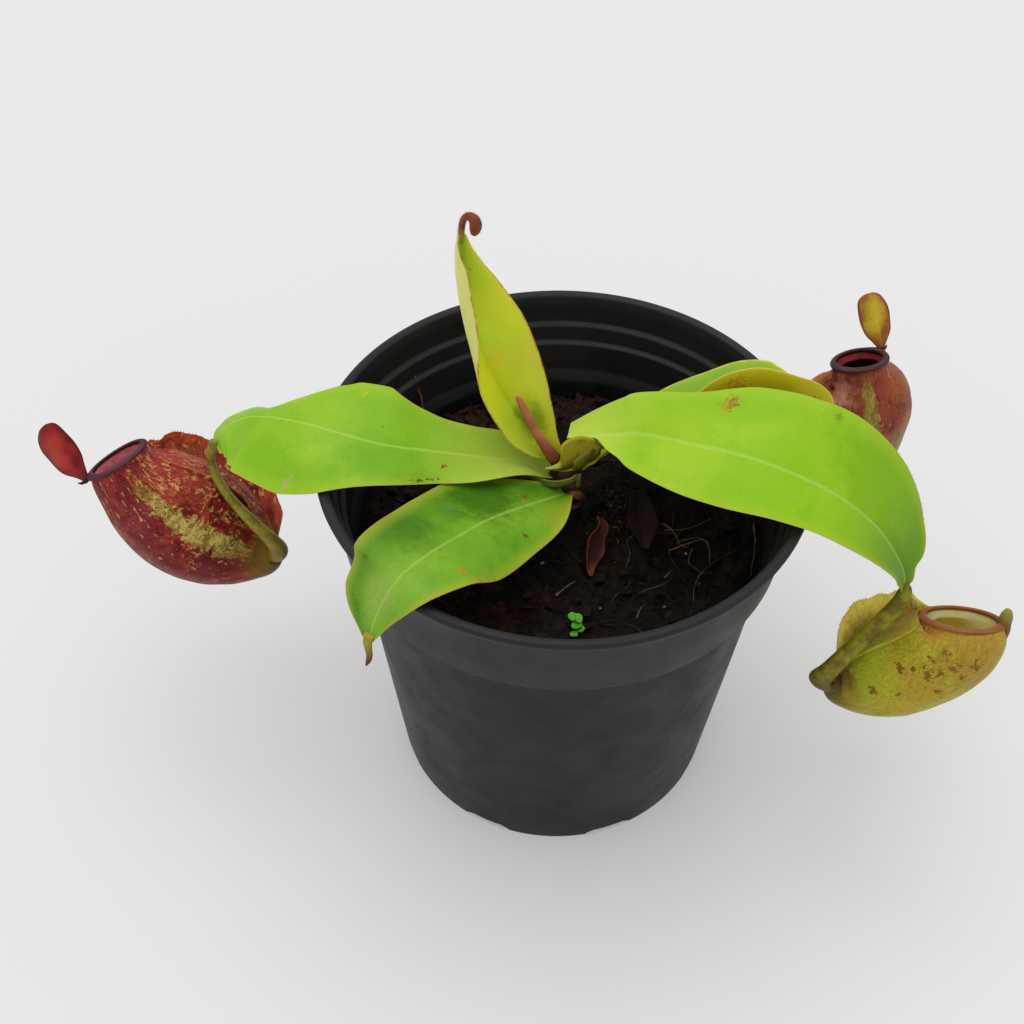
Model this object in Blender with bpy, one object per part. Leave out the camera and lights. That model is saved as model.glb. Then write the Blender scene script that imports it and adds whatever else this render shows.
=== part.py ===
# Potted tropical pitcher plant in a black nursery pot.
# Metres, +Z up; the pot's axis is Z and its feet stand on z = 0.
import math

import bpy
import numpy as np

MM = 0.001

# Pot
POT_HEIGHT = 116.0
LIP_RADIUS = 65.0
BAND_TOP_RADIUS = 62.2
BAND_FOOT_RADIUS = 59.3
BAND_HEIGHT = 26.0
CONE_TOP_RADIUS = 56.6
BASE_RADIUS = 46.6
WALL = 1.6
FLOOR_LIFT = 3.0
PAD_RADIUS = 20.0
POT_SIDES = 48
NOTCHES = 8
NOTCH_SIZE = (14.0, 12.0, 4.4)
DRAINS = 6
DRAIN_RADIUS = 4.5
DRAIN_RING = 32.0
# Soil
SOIL_LEVEL = 86.0
SOIL_HOLE_RADIUS = 4.6
STEM_FOOT = (0.7, 2.1)
# Thickness of growing things
BLADE = 0.75
BLADE_RIB = 1.7
CUP_WALL = 0.95
PIECE_GAP = 0.3


for old in list(bpy.data.objects):
    bpy.data.objects.remove(old, do_unlink=True)


def make_material(name, colour, roughness, metallic=0.0):
    material = bpy.data.materials.new(name)
    material.use_nodes = True
    shader = material.node_tree.nodes["Principled BSDF"]
    shader.inputs["Base Color"].default_value = (*colour, 1.0)
    shader.inputs["Roughness"].default_value = roughness
    shader.inputs["Metallic"].default_value = metallic
    material.diffuse_color = (*colour, 1.0)
    return material


plastic = make_material("pot_plastic", (0.028, 0.029, 0.031), 0.55)
peat = make_material("potting_mix", (0.030, 0.016, 0.010), 0.95)
leaf_green = make_material("leaf_green", (0.25, 0.48, 0.03), 0.40)
leaf_deep = make_material("leaf_deep_green", (0.12, 0.34, 0.02), 0.42)
stem_olive = make_material("stem_olive", (0.26, 0.28, 0.05), 0.50)
bud_brown = make_material("bud_brown", (0.22, 0.07, 0.03), 0.55)
spear_pink = make_material("spear_pink", (0.45, 0.17, 0.10), 0.50)
cup_red = make_material("cup_red", (0.28, 0.03, 0.03), 0.35)
cup_green = make_material("cup_green", (0.38, 0.38, 0.05), 0.40)
cup_rose = make_material("cup_rose", (0.42, 0.15, 0.09), 0.40)
rim_maroon = make_material("rim_maroon", (0.08, 0.012, 0.02), 0.25)
rim_orange = make_material("rim_orange", (0.36, 0.13, 0.04), 0.30)
lid_red = make_material("lid_red", (0.35, 0.03, 0.03), 0.40)
lid_amber = make_material("lid_amber", (0.42, 0.20, 0.04), 0.45)
dead_brown = make_material("dead_brown", (0.09, 0.035, 0.02), 0.85)


def mesh_object(name, points, faces, material):
    mesh = bpy.data.meshes.new(name)
    mesh.from_pydata([tuple(p) for p in np.asarray(points, float) * MM], [], [tuple(f) for f in faces])
    mesh.materials.append(material)
    mesh.validate()
    item = bpy.data.objects.new(name, mesh)
    bpy.context.collection.objects.link(item)
    return item


def unit(v):
    return np.asarray(v, float) / np.linalg.norm(v)


def spline(rows, count):
    """Catmull-Rom through every row, evenly spaced along the length of the first three columns."""
    rows = np.asarray(rows, float)
    padded = np.vstack([2 * rows[0] - rows[1], rows, 2 * rows[-1] - rows[-2]])
    fine = []
    for k in range(len(rows) - 1):
        a, b, c, d = padded[k:k + 4]
        for t in np.linspace(0, 1, 24, endpoint=False):
            fine.append(0.5 * (2 * b + (c - a) * t + (2 * a - 5 * b + 4 * c - d) * t ** 2
                               + (3 * b - a - 3 * c + d) * t ** 3))
    fine = np.array(fine + [rows[-1]])
    run = np.r_[0, np.cumsum(np.linalg.norm(np.diff(fine[:, :3], axis=0), axis=1))]
    at = np.linspace(0, run[-1], count)
    return np.column_stack([np.interp(at, run, column) for column in fine.T])


def tangents(path):
    return np.array([unit(v) for v in np.gradient(path, axis=0)])


def facing_out(points, faces):
    points = np.asarray(points, float)
    volume = sum(np.dot(points[a], np.cross(points[b], points[c])) for a, b, c in faces)
    return faces if volume > 0 else [f[::-1] for f in faces]


def loft(name, rings, material):
    """A closed skin over equal rings, with a fan on each end."""
    count, sides = len(rings), len(rings[0])
    points = [p for ring in rings for p in ring] + [np.mean(rings[0], axis=0), np.mean(rings[-1], axis=0)]
    faces = []
    for i in range(count - 1):
        for j in range(sides):
            a, b = i * sides + j, i * sides + (j + 1) % sides
            faces += [(a, b, b + sides), (a, b + sides, a + sides)]
    last = (count - 1) * sides
    for j in range(sides):
        k = (j + 1) % sides
        faces += [(k, j, count * sides), (last + j, last + k, count * sides + 1)]
    return mesh_object(name, points, facing_out(points, faces), material)


def tube_rings(path, radii, sides, flat=1.0, up=(0, 0, 1)):
    """Rings square to the path; flat squashes them along the carried up direction."""
    rings = []
    normal = np.asarray(up, float)
    for p, t, r in zip(path, tangents(path), radii):
        normal = unit(normal - (normal @ t) * t)
        side = np.cross(t, normal)
        turn = np.linspace(0, 2 * math.pi, sides, endpoint=False)
        rings.append([p + r * (math.cos(a) * side + flat * math.sin(a) * normal) for a in turn])
    return rings


# ---- pot -------------------------------------------------------------------
def make_pot():
    top = POT_HEIGHT
    inner = CONE_TOP_RADIUS - WALL
    profile = [
        (PAD_RADIUS, 0.0), (PAD_RADIUS + 2.0, FLOOR_LIFT),
        (BASE_RADIUS - 5.0, FLOOR_LIFT), (BASE_RADIUS - 3.0, 0.0), (BASE_RADIUS, 0.0),
        (CONE_TOP_RADIUS, top - BAND_HEIGHT), (BAND_FOOT_RADIUS, top - BAND_HEIGHT + 0.6),
        (BAND_TOP_RADIUS, top - 4.0), (LIP_RADIUS - 0.4, top - 2.6), (LIP_RADIUS, top - 1.2),
        (LIP_RADIUS - 0.5, top - 0.3), (LIP_RADIUS - 1.5, top),
        (LIP_RADIUS - 2.8, top - 0.6), (LIP_RADIUS - 3.5, top - 3.6), (LIP_RADIUS - 3.8, top - 9.0),
        (LIP_RADIUS - 5.4, top - 9.6), (LIP_RADIUS - 5.8, top - 14.4), (LIP_RADIUS - 7.3, top - 15.0),
        (LIP_RADIUS - 7.7, top - BAND_HEIGHT + 2.0),
        (inner, top - BAND_HEIGHT - 1.0), (BASE_RADIUS - WALL, FLOOR_LIFT + WALL + 1.0),
        (BASE_RADIUS - WALL - 2.0, FLOOR_LIFT + WALL), (PAD_RADIUS + 1.2, FLOOR_LIFT + WALL),
        (PAD_RADIUS - 0.8, WALL),
    ]
    count = len(profile)
    points = []
    for k in range(POT_SIDES):
        a = 2 * math.pi * k / POT_SIDES
        points += [(r * math.cos(a), r * math.sin(a), z) for r, z in profile]
    faces = []
    for k in range(POT_SIDES):
        n = (k + 1) % POT_SIDES
        for j in range(count - 1):
            faces.append((k * count + j, n * count + j, n * count + j + 1, k * count + j + 1))
    under, floor = len(points), len(points) + 1
    points += [(0, 0, 0), (0, 0, WALL)]
    for k in range(POT_SIDES):
        n = (k + 1) % POT_SIDES
        faces += [(n * count, k * count, under), (k * count + count - 1, n * count + count - 1, floor)]
    return mesh_object("pot", points, faces, plastic)


def box_cutter(name, size, place, turn):
    sx, sy, sz = (s / 2 for s in size)
    corners = [(x, y, z) for z in (-sz, sz) for x, y in ((-sx, -sy), (sx, -sy), (sx, sy), (-sx, sy))]
    faces = [(3, 2, 1, 0), (4, 5, 6, 7), (0, 1, 5, 4), (1, 2, 6, 5), (2, 3, 7, 6), (3, 0, 4, 7)]
    item = mesh_object(name, corners, faces, plastic)
    item.location = [c * MM for c in place]
    item.rotation_euler = (0, 0, turn)
    return item


def rod_cutter(name, radius, length, place):
    rings = [[(radius * math.cos(a), radius * math.sin(a), z)
              for a in np.linspace(0, 2 * math.pi, 12, endpoint=False)] for z in (-length / 2, length / 2)]
    item = loft(name, np.array(rings), plastic)
    item.location = [c * MM for c in place]
    return item


def cut(body, cutters, operation="DIFFERENCE"):
    for cutter in cutters:
        step = body.modifiers.new(cutter.name, "BOOLEAN")
        step.operation = operation
        step.solver = "EXACT"
        step.object = cutter
        bpy.context.view_layer.update()
        with bpy.context.temp_override(object=body, active_object=body, selected_objects=[body]):
            bpy.ops.object.modifier_apply(modifier=step.name)
        bpy.data.objects.remove(cutter, do_unlink=True)


def foot_notches():
    """Drainage notches through the foot ring."""
    for k in range(NOTCHES):
        a = 2 * math.pi * (k + 0.5) / NOTCHES
        place = (BASE_RADIUS * math.cos(a), BASE_RADIUS * math.sin(a), 0.0)
        yield box_cutter(f"notch{k}", NOTCH_SIZE, place, a + math.pi / 2)


def drain_holes():
    for k in range(DRAINS):
        a = 2 * math.pi * k / DRAINS
        place = (DRAIN_RING * math.cos(a), DRAIN_RING * math.sin(a), FLOOR_LIFT)
        yield rod_cutter(f"drain{k}", DRAIN_RADIUS, 4 * FLOOR_LIFT, place)


pot = make_pot()
cut(pot, [*foot_notches(), *drain_holes()])


# ---- soil ------------------------------------------------------------------
def soil_height(x, y):
    """Low mounds and hollows of the mix, level where the stem goes in."""
    r = math.hypot(x, y)
    bumps = (1.1 * math.sin(0.21 * x + 0.9) * math.cos(0.17 * y - 0.4)
             + 0.7 * math.sin(0.43 * x - 0.31 * y + 1.7) + 0.35 * math.sin(0.83 * y + 0.6 * x))
    return SOIL_LEVEL + 1.6 * math.exp(-(r / 26) ** 2) + bumps * min(1.0, r / 16)


def pot_inner(z):
    foot, top = FLOOR_LIFT + WALL + 1.0, POT_HEIGHT - BAND_HEIGHT - 1.0
    share = min(1.0, max(0.0, (z - foot) / (top - foot)))
    return BASE_RADIUS - WALL + share * (CONE_TOP_RADIUS - BASE_RADIUS)


def make_soil():
    sides, steps = 36, 8
    hole_foot = SOIL_LEVEL - 20.0
    radii = np.linspace(SOIL_HOLE_RADIUS, pot_inner(SOIL_LEVEL - 2.6) - PIECE_GAP - 0.1, steps)
    circle = np.linspace(0, 2 * math.pi, sides, endpoint=False)
    rings = []
    for r, z in ((PAD_RADIUS - 1.8, WALL + PIECE_GAP), (PAD_RADIUS + 0.6, FLOOR_LIFT + WALL + PIECE_GAP),
                 (BASE_RADIUS - WALL - 3.2, FLOOR_LIFT + WALL + PIECE_GAP),
                 (pot_inner(12.0) - PIECE_GAP - 0.1, 12.0)):
        rings.append([(r * math.cos(a), r * math.sin(a), z) for a in circle])
    for r in radii[::-1]:
        ring = []
        share = (radii[-1] - r) / (radii[-1] - radii[0])
        for a in circle:
            x, y = r * math.cos(a) + share * STEM_FOOT[0], r * math.sin(a) + share * STEM_FOOT[1]
            ring.append((x, y, soil_height(x, y) - (2.4 if r > radii[-2] else 0.0)))
        rings.append(ring)
    hole = SOIL_HOLE_RADIUS
    rings.append([(hole * math.cos(a) + STEM_FOOT[0], hole * math.sin(a) + STEM_FOOT[1], hole_foot)
                  for a in circle])
    return loft("soil", np.array(rings), peat)


make_soil()

# ---- stem ------------------------------------------------------------------
STEM = [(0.7, 2.1, 66.5, 3.2), (0.7, 2.1, 80.0, 3.5), (0.7, 2.2, 88.0, 3.7), (0.6, 2.8, 95.0, 3.8),
        (0.2, 3.4, 100.0, 3.5), (-0.4, 4.0, 105.2, 2.6)]
stem_path = spline(STEM, 16)
stem_radii = [r * (1 + 0.07 * math.sin(1.9 * k)) for k, r in enumerate(stem_path[:, 3])]
loft("stem", tube_rings(stem_path[:, :3], stem_radii, 12), stem_olive)


# ---- leaves ----------------------------------------------------------------
def blade_grid(rows, stations, waves, up, across=(1.0, 0.78, 0.5, 0.22)):
    """Top and bottom points of a blade.

    rows: midrib x y z, left and right half widths, left and right lift angles, left and right curl.
    waves: amplitude, waves along the blade, phase left, phase right.
    """
    data = spline(rows, stations)
    path = data[:, :3]
    along = tangents(path)
    up = np.asarray(up, float)
    shares = [-s for s in across] + [0.0] + list(across[::-1])
    amplitude, number, phase_left, phase_right = waves
    top, low = [], []
    for i, (p, t, row) in enumerate(zip(path, along, data)):
        v = i / (stations - 1)
        normal = unit(up - (up @ t) * t)
        side = np.cross(t, normal)
        width = (row[3], row[4])
        lift = (math.radians(row[5]), math.radians(row[6]))
        curl = (math.radians(row[7]), math.radians(row[8]))
        line, face = [], []
        for s in shares:
            right = s > 0
            k = int(right)
            reach, steps = abs(s) * width[k], 8
            x = z = 0.0
            for n in range(steps):
                angle = lift[k] + curl[k] * abs(s) * (n + 0.5) / steps
                x += math.cos(angle) * reach / steps
                z += math.sin(angle) * reach / steps
            angle = lift[k] + curl[k] * abs(s)
            phase = phase_right if right else phase_left
            fade = s * s * math.sin(math.pi * v) ** 0.5
            wave = amplitude * fade * math.sin(2 * math.pi * number * v + phase)
            sign = 1 if right else -1
            out = math.cos(angle) * normal - sign * math.sin(angle) * side if s else normal
            line.append(p + sign * x * side + z * normal - wave * out)
            face.append(out)
        rib = (BLADE_RIB - BLADE) * (1 - 0.45 * v)
        swell = [BLADE + rib * max(0.0, 1 - (abs(s) / 0.25) ** 2) for s in shares]
        top.append(line)
        low.append([q - w * f for q, w, f in zip(line, swell, face)])
    return np.array(top), np.array(low)


def make_blade(name, top, low, material):
    """Both faces split alike, and the edge closed all round."""
    n, m = top.shape[:2]
    points = np.vstack([top.reshape(-1, 3), low.reshape(-1, 3)])
    off = n * m
    faces = []
    for i in range(n - 1):
        for j in range(m - 1):
            a, b, c, d = i * m + j, i * m + j + 1, (i + 1) * m + j + 1, (i + 1) * m + j
            faces += [(a, b, c), (a, c, d)]
            faces += [(off + b, off + a, off + c), (off + c, off + a, off + d)]
        for j, way in ((0, 1), (m - 1, -1)):
            a, d = i * m + j, (i + 1) * m + j
            quad = [(a, d, off + d), (a, off + d, off + a)]
            faces += quad if way == 1 else [f[::-1] for f in quad]
    for i, way in ((0, -1), (n - 1, 1)):
        for j in range(m - 1):
            a, b = i * m + j, i * m + j + 1
            quad = [(a, off + a, off + b), (a, off + b, b)]
            faces += quad if way == -1 else [f[::-1] for f in quad]
    return mesh_object(name, points, facing_out(points, faces), material)


# Rows: midrib x y z, half widths, lift angles, curls (left, right seen from base to tip).
LEAF_LEFT = [
    (-4.4, 3.4, 101.5, 3.0, 3.2, 38, 38, 0, 0),
    (-11.5, 2.1, 107.5, 6.0, 7.5, 10, 24, -10, 0),
    (-23.3, -2.2, 113.5, 8.5, 9.5, -10, 16, -10, 5),
    (-34.7, -5.2, 117.8, 10.5, 12.5, -15, 12, -12, 5),
    (-46.2, -7.1, 121.0, 12.9, 16.5, -16, 12, -8, 0),
    (-58.3, -4.8, 122.5, 17.0, 18.3, -13, 8, -6, 0),
    (-66.0, -2.0, 122.0, 18.2, 13.8, -14, 2, -6, 0),
    (-74.0, 0.8, 119.8, 17.2, 10.8, -18, -2, -8, 0),
    (-84.0, 4.0, 114.8, 13.5, 11.5, -30, -8, -10, 0),
    (-92.0, 4.8, 109.3, 6.0, 5.5, -30, -20, 0, 0),
    (-94.6, 5.0, 106.0, 1.3, 1.3, -10, -10, 0, 0),
]
LEAF_RIGHT = [
    (5.3, 4.6, 102.5, 2.8, 2.8, 34, 34, 0, 0),
    (8.8, 6.6, 112.0, 9.2, 6.0, 34, 10, 0, 0),
    (20.4, 2.1, 120.0, 13.5, 10.0, 26, -8, -14, -10),
    (32.1, -5.9, 125.0, 18.0, 14.0, 22, -14, -16, -10),
    (43.9, -11.0, 127.0, 21.5, 15.0, 21, -16, -14, -10),
    (55.8, -14.7, 125.5, 23.0, 13.5, 22, -18, -12, -10),
    (68.8, -15.9, 119.0, 23.4, 12.0, 24, -18, -8, -8),
    (80.5, -16.6, 108.5, 20.8, 9.5, 28, -16, -6, -5),
    (88.5, -17.6, 96.5, 13.5, 5.0, 28, -12, -5, 0),
    (91.2, -18.4, 88.5, 1.5, 1.5, 0, 0, 0, 0),
]
LEAF_FRONT = [
    (-1.6, -2.0, 98.8, 3.2, 3.2, 30, 30, 0, 0),
    (-8.5, -9.8, 104.0, 9.5, 8.0, -5, 12, 0, 0),
    (-17.5, -19.4, 109.0, 13.0, 12.5, -12, 10, -8, 0),
    (-25.2, -30.5, 114.0, 13.8, 14.5, -15, 8, -10, 0),
    (-32.3, -42.4, 119.3, 13.2, 14.0, -6, 6, -6, 0),
    (-37.9, -50.6, 120.2, 10.8, 12.5, -6, 4, -6, -10),
    (-42.4, -55.0, 113.6, 8.0, 9.5, -10, 0, -8, -12),
    (-44.9, -58.3, 106.0, 1.3, 1.3, 0, 0, 0, 0),
]
LEAF_YOUNG = [
    (-1.8, 5.6, 106.6, 2.2, 2.4, 60, 40, 0, 0),
    (-8.6, 7.9, 112.5, 8.0, 7.5, 66, 20, 0, 0),
    (-15.0, 9.8, 121.0, 11.0, 11.5, 72, 12, 0, 0),
    (-20.8, 12.2, 132.0, 12.0, 13.5, 82, 8, 6, 0),
    (-25.0, 14.2, 143.5, 11.5, 13.0, 84, 8, 8, 0),
    (-27.2, 15.8, 155.0, 9.0, 9.5, 84, 8, 8, 0),
    (-27.6, 17.2, 162.5, 5.0, 5.0, 80, 8, 0, 0),
    (-27.0, 17.8, 167.6, 1.3, 1.3, 40, 20, 0, 0),
]
LEAF_BACK = [
    (2.8, 7.6, 99.6, 3.0, 3.0, 30, 30, 0, 0),
    (13.0, 13.4, 104.6, 6.5, 6.0, 10, 24, 0, 0),
    (26.0, 16.6, 111.5, 10.0, 8.5, 4, 44, -6, 15),
    (37.5, 19.0, 116.0, 13.0, 10.5, 2, 58, -8, 20),
    (48.0, 20.0, 119.4, 12.8, 11.0, 3, 64, -6, 25),
    (57.0, 20.0, 119.8, 11.5, 10.5, 6, 66, -6, 25),
    (66.0, 21.2, 116.6, 8.0, 8.5, 6, 62, -6, 20),
    (72.4, 23.6, 105.6, 1.4, 1.4, 0, 10, 0, 0),
]


# Name, rows, stations, waves, way the upper face looks, material.
LEAVES = (
    ("leaf_left", LEAF_LEFT, 31, (1.3, 3.2, 0.6, 2.4), (0, 0, 1), leaf_green),
    ("leaf_right", LEAF_RIGHT, 31, (0.5, 2.6, 0.3, 1.9), (0, 0, 1), leaf_green),
    ("leaf_front", LEAF_FRONT, 27, (0.9, 3.0, 1.6, 0.4), (0, 0, 1), leaf_deep),
    ("leaf_young", LEAF_YOUNG, 24, (0.5, 2.4, 0.0, 1.2), (0.25, -0.90, 0.30), leaf_green),
    ("leaf_back", LEAF_BACK, 24, (0.6, 2.4, 0.5, 1.5), (0, 0, 1), leaf_green),
)
for name, rows, stations, waves, up, material in LEAVES:
    top, low = blade_grid(rows, stations, waves, up)
    make_blade(name, top, low, material)


# ---- what grows on the leaf tips -------------------------------------------
def tube(name, rows, stations, sides, material, flat=1.0):
    """A round run whose fourth column is its radius."""
    data = spline(rows, stations)
    return loft(name, tube_rings(data[:, :3], data[:, 3], sides, flat), material)


# Spine x y z and radius, from the tip where the tendril joins up to the mouth.
CUPS = {
    "left": dict(
        spine=[(-81.4, -0.8, 68.0, 2.8), (-84.8, 0.8, 66.8, 7.2), (-90.4, 3.0, 67.4, 12.2),
               (-98.0, 4.8, 70.4, 15.8), (-106.9, 6.2, 76.0, 16.3), (-114.6, 6.2, 84.4, 13.6),
               (-119.4, 5.8, 91.2, 10.2), (-122.4, 6.8, 96.0, 8.7)],
        front=(0.42, 0.46, 0.78), wings=(7.0, 2.2), skin=cup_red, rim=rim_maroon),
    "right": dict(
        spine=[(76.0, -23.6, 51.2, 2.6), (79.4, -23.4, 50.4, 5.8), (84.8, -23.0, 51.8, 9.4),
               (91.8, -23.4, 56.8, 12.4), (99.4, -24.2, 63.0, 13.4), (105.2, -24.8, 69.4, 13.4),
               (107.4, -24.0, 75.4, 11.2), (106.8, -21.8, 79.4, 9.0)],
        front=(-0.50, 0.30, 0.82), wings=(2.0, 8.0), skin=cup_green, rim=rim_orange),
    "back": dict(
        spine=[(94.0, 53.0, 53.6, 2.4), (93.4, 53.0, 58.6, 6.0), (91.8, 53.0, 67.0, 10.2),
               (89.8, 53.0, 77.0, 12.8), (88.0, 52.8, 86.4, 13.4), (86.4, 52.6, 94.4, 11.4),
               (85.6, 53.0, 99.2, 9.2), (85.3, 54.0, 102.4, 8.2)],
        front=(-0.72, -0.66, 0.1), wings=(2.2, 4.6), skin=cup_rose, rim=rim_maroon),
}
WING_TURN = 0.50
CUP_STATIONS = 19


def cup_angles():
    """Even steps round the cup, closer where a wing stands."""
    plain = [a for a in np.linspace(-math.pi, math.pi, 18, endpoint=False) if abs(abs(a) - WING_TURN) > 0.16]
    close = [sign * (WING_TURN + d) for sign in (-1, 1) for d in (-0.10, -0.035, 0.035, 0.10)]
    return sorted(plain + close)


def cup_frames(spine, front, stations):
    data = spline(spine, stations)
    path, radii = data[:, :3], data[:, 3]
    along = tangents(path)
    normal = np.asarray(front, float)
    frames = []
    for p, t, r in zip(path, along, radii):
        normal = unit(normal - (normal @ t) * t)
        frames.append((p, t, normal, np.cross(t, normal), r))
    return frames


def make_cup(name, spec):
    """Hollow cup: outer rings up to the mouth, inner rings back down; two toothed wings on the front."""
    frames = cup_frames(spec["spine"], spec["front"], CUP_STATIONS)
    turns = cup_angles()
    outer, inner = [], []
    for i, (p, t, n, s, r) in enumerate(frames):
        v = i / (CUP_STATIONS - 1)
        tooth = 1.0 if i % 2 else 0.78
        wing = tooth * math.sin(math.pi * min(1.0, max(0.0, (v - 0.04) / 0.94))) ** 0.5
        ring = []
        for a in turns:
            stand = wing * spec["wings"][int(a < 0)] if abs(abs(a) - WING_TURN) < 0.05 else 0.0
            ring.append(p + (r + stand) * (math.cos(a) * n + math.sin(a) * s))
        outer.append(ring)
        if i >= 4:
            hollow = r - CUP_WALL
            inner.append([p + hollow * (math.cos(a) * n + math.sin(a) * s) for a in turns])
    return loft(name, np.array(outer + inner[::-1]), spec["skin"])


def make_peristome(name, spec):
    """Ribbed collar 0.3 mm above the mouth's edge."""
    p, t, n, s, r = cup_frames(spec["spine"], spec["front"], CUP_STATIONS)[-1]
    around, sides = 40, 6
    rings = []
    for k in range(around):
        a = 2 * math.pi * k / around
        out = math.cos(a) * n + math.sin(a) * s
        swell = 1.0 + (0.13 if k % 2 else -0.05)
        centre = p + (r - 0.2) * out + (PIECE_GAP + 1.15) * t
        ring = []
        for j in range(sides):
            b = 2 * math.pi * j / sides
            ring.append(centre + swell * (1.45 * math.cos(b) * out + 0.95 * math.sin(b) * t))
        rings.append(ring)
    points = np.array(rings).reshape(-1, 3)
    faces = []
    for k in range(around):
        for j in range(sides):
            a, b = k * sides + j, k * sides + (j + 1) % sides
            c, d = ((k + 1) % around) * sides + (j + 1) % sides, ((k + 1) % around) * sides + j
            faces += [(a, b, c), (a, c, d)]
    return mesh_object(name, points, facing_out(points, faces), spec["rim"])


for side, spec in CUPS.items():
    make_cup(f"cup_{side}", spec)
    make_peristome(f"peristome_{side}", spec)

# Tendrils: x y z and radius. The last row comes from the cup's own tip.
TENDRILS = {
    "left": [(-94.9, 5.3, 105.4, 1.3), (-96.6, 7.0, 98.5, 1.3), (-95.6, 6.0, 91.8, 1.3),
             (-91.2, 2.2, 86.9, 1.4), (-85.2, -0.9, 81.3, 1.6), (-80.2, -2.4, 75.8, 1.9)],
    "right": [(91.3, -18.5, 87.7, 1.6), (89.4, -20.6, 82.2, 1.7), (83.8, -23.4, 75.4, 1.6),
              (78.8, -25.4, 67.4, 1.6), (74.8, -26.4, 60.2, 1.8)],
    "back": [(72.7, 23.8, 104.9, 1.4), (76.6, 26.2, 92.0, 1.3), (82.6, 33.0, 74.0, 1.3),
             (89.0, 44.0, 54.0, 1.4), (92.6, 50.0, 47.6, 1.7)],
}
for side, rows in TENDRILS.items():
    p, t = cup_frames(CUPS[side]["spine"], CUPS[side]["front"], CUP_STATIONS)[0][:2]
    tip_radius = CUPS[side]["spine"][0][3]
    rows = rows + [(*(p - 3.2 * t), tip_radius - 0.3), (*(p - 2 * PIECE_GAP * t), tip_radius - 0.1)]
    tube(f"tendril_{side}", rows, 17, 7, stem_olive)

# Lids: neck, direction and which way the upper face looks; length and greatest half width.
LIDS = {
    "left": dict(way=(-0.70, 0.51, 0.50), face=(-0.30, -0.72, 0.45), size=(17.0, 5.0), skin=lid_red),
    "right": dict(way=(0.36, 0.62, -0.70), face=(0.70, 0.0, 0.70), size=(12.0, 4.2), skin=lid_amber),
    "back": dict(way=(-0.46, 0.55, 0.70), face=(0.25, -0.75, 0.50), size=(15.0, 4.4), skin=lid_amber),
}


def make_lid(side, spec):
    p, t, n, s, r = cup_frames(CUPS[side]["spine"], CUPS[side]["front"], CUP_STATIONS)[-1]
    way, face = unit(spec["way"]), np.asarray(spec["face"], float)
    face = unit(face - (face @ way) * way)
    length, half = spec["size"]
    start = p - (r + 2.4 + PIECE_GAP) * n + 1.2 * t
    rows = []
    for v, w, bow in ((0.0, 0.30, 0.0), (0.12, 0.34, 0.4), (0.28, 0.80, 1.0), (0.5, 1.0, 1.4),
                      (0.72, 0.92, 1.2), (0.9, 0.58, 0.5), (1.0, 0.16, 0.0)):
        at = start + way * length * v + face * bow
        rows.append((*at, w * half, w * half, -16, -16, -8, -8))
    top, low = blade_grid(rows, 11, (0.0, 1, 0, 0), face, across=(1.0, 0.5))
    return make_blade(f"lid_{side}", top, low, spec["skin"])


for side, spec in LIDS.items():
    make_lid(side, spec)

# ---- small growing and withered pieces -------------------------------------
STUB = [(-45.1, -58.7, 105.2, 1.3), (-45.6, -58.0, 101.0, 1.5), (-45.8, -55.6, 96.5, 1.2),
        (-45.2, -53.8, 92.5, 0.7)]
BUD = [(-26.8, 17.9, 168.4, 0.9), (-26.3, 17.8, 170.6, 1.1), (-25.3, 17.6, 173.2, 1.4),
       (-23.8, 16.8, 174.0, 1.5), (-22.9, 16.2, 172.6, 1.5), (-23.0, 16.2, 170.6, 0.7)]
SPEAR = [(-0.2, 3.2, 106.0, 1.2), (-3.0, 3.2, 110.4, 1.8), (-6.0, 4.4, 115.2, 2.0),
         (-8.6, 5.6, 120.4, 1.7), (-10.8, 6.8, 126.0, 0.8)]
tube("leaf_front_stub", STUB, 8, 7, dead_brown)
tube("young_bud", BUD, 12, 8, bud_brown)
tube("new_leaf", SPEAR, 12, 9, spear_pink)


def dry_blade(name, spots, half, lift, stations=10):
    """A withered blade laid over the soil: midrib spots x, y and height above it."""
    rows = []
    for (x, y, up_by), w in zip(spots, half):
        rows.append((x, y, soil_height(x, y) + up_by, w, w, lift, lift + 12, 14, 10))
    top, low = blade_grid(rows, stations, (0.5, 1.6, 0.3, 2.1), (0, 0, 1), across=(1.0, 0.6, 0.25))
    return make_blade(name, top, low, dead_brown)


DRY_A = [(10.6, -1.6, 4.6), (9.6, -5.6, 3.0), (8.6, -10.4, 2.4), (8.2, -14.6, 2.4), (8.0, -18.4, 2.6)]
DRY_B = [(20.4, 10.0, 3.2), (20.8, 5.0, 2.6), (21.4, 0.0, 2.6), (22.0, -5.0, 2.6), (22.8, -10.0, 2.6)]
dry_blade("dry_leaf_a", DRY_A, (1.2, 3.4, 4.2, 3.6, 0.9), 36)
dry_blade("dry_leaf_b", DRY_B, (1.6, 4.6, 5.4, 4.4, 1.2), 22)


def make_seedling(x, y):
    """Four leaflets on a stalk, one body."""
    foot = soil_height(x, y)
    stalk = tube("seedling", [(x, y, foot + PIECE_GAP, 0.5), (x, y - 0.2, foot + 1.8, 0.45),
                              (x + 0.1, y - 0.3, foot + 3.4, 0.5)], 4, 6, leaf_green)
    leaflets = []
    for k in range(4):
        a = 0.6 + math.pi / 2 * k
        reach = 2.6 if k % 2 else 2.1
        rows = []
        for d, w in ((0.0, 0.35), (0.45, 0.8), (0.8, 0.8), (1.0, 0.35)):
            arch = 0.9 * d - 0.9 * d * d
            rows.append((x + 0.1 + d * reach * math.cos(a), y - 0.3 + d * reach * math.sin(a), foot + 3.1 + arch, w))
        leaflets.append(tube(f"leaflet{k}", rows, 5, 6, leaf_green, flat=0.5))
    cut(stalk, leaflets, operation="UNION")


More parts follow.
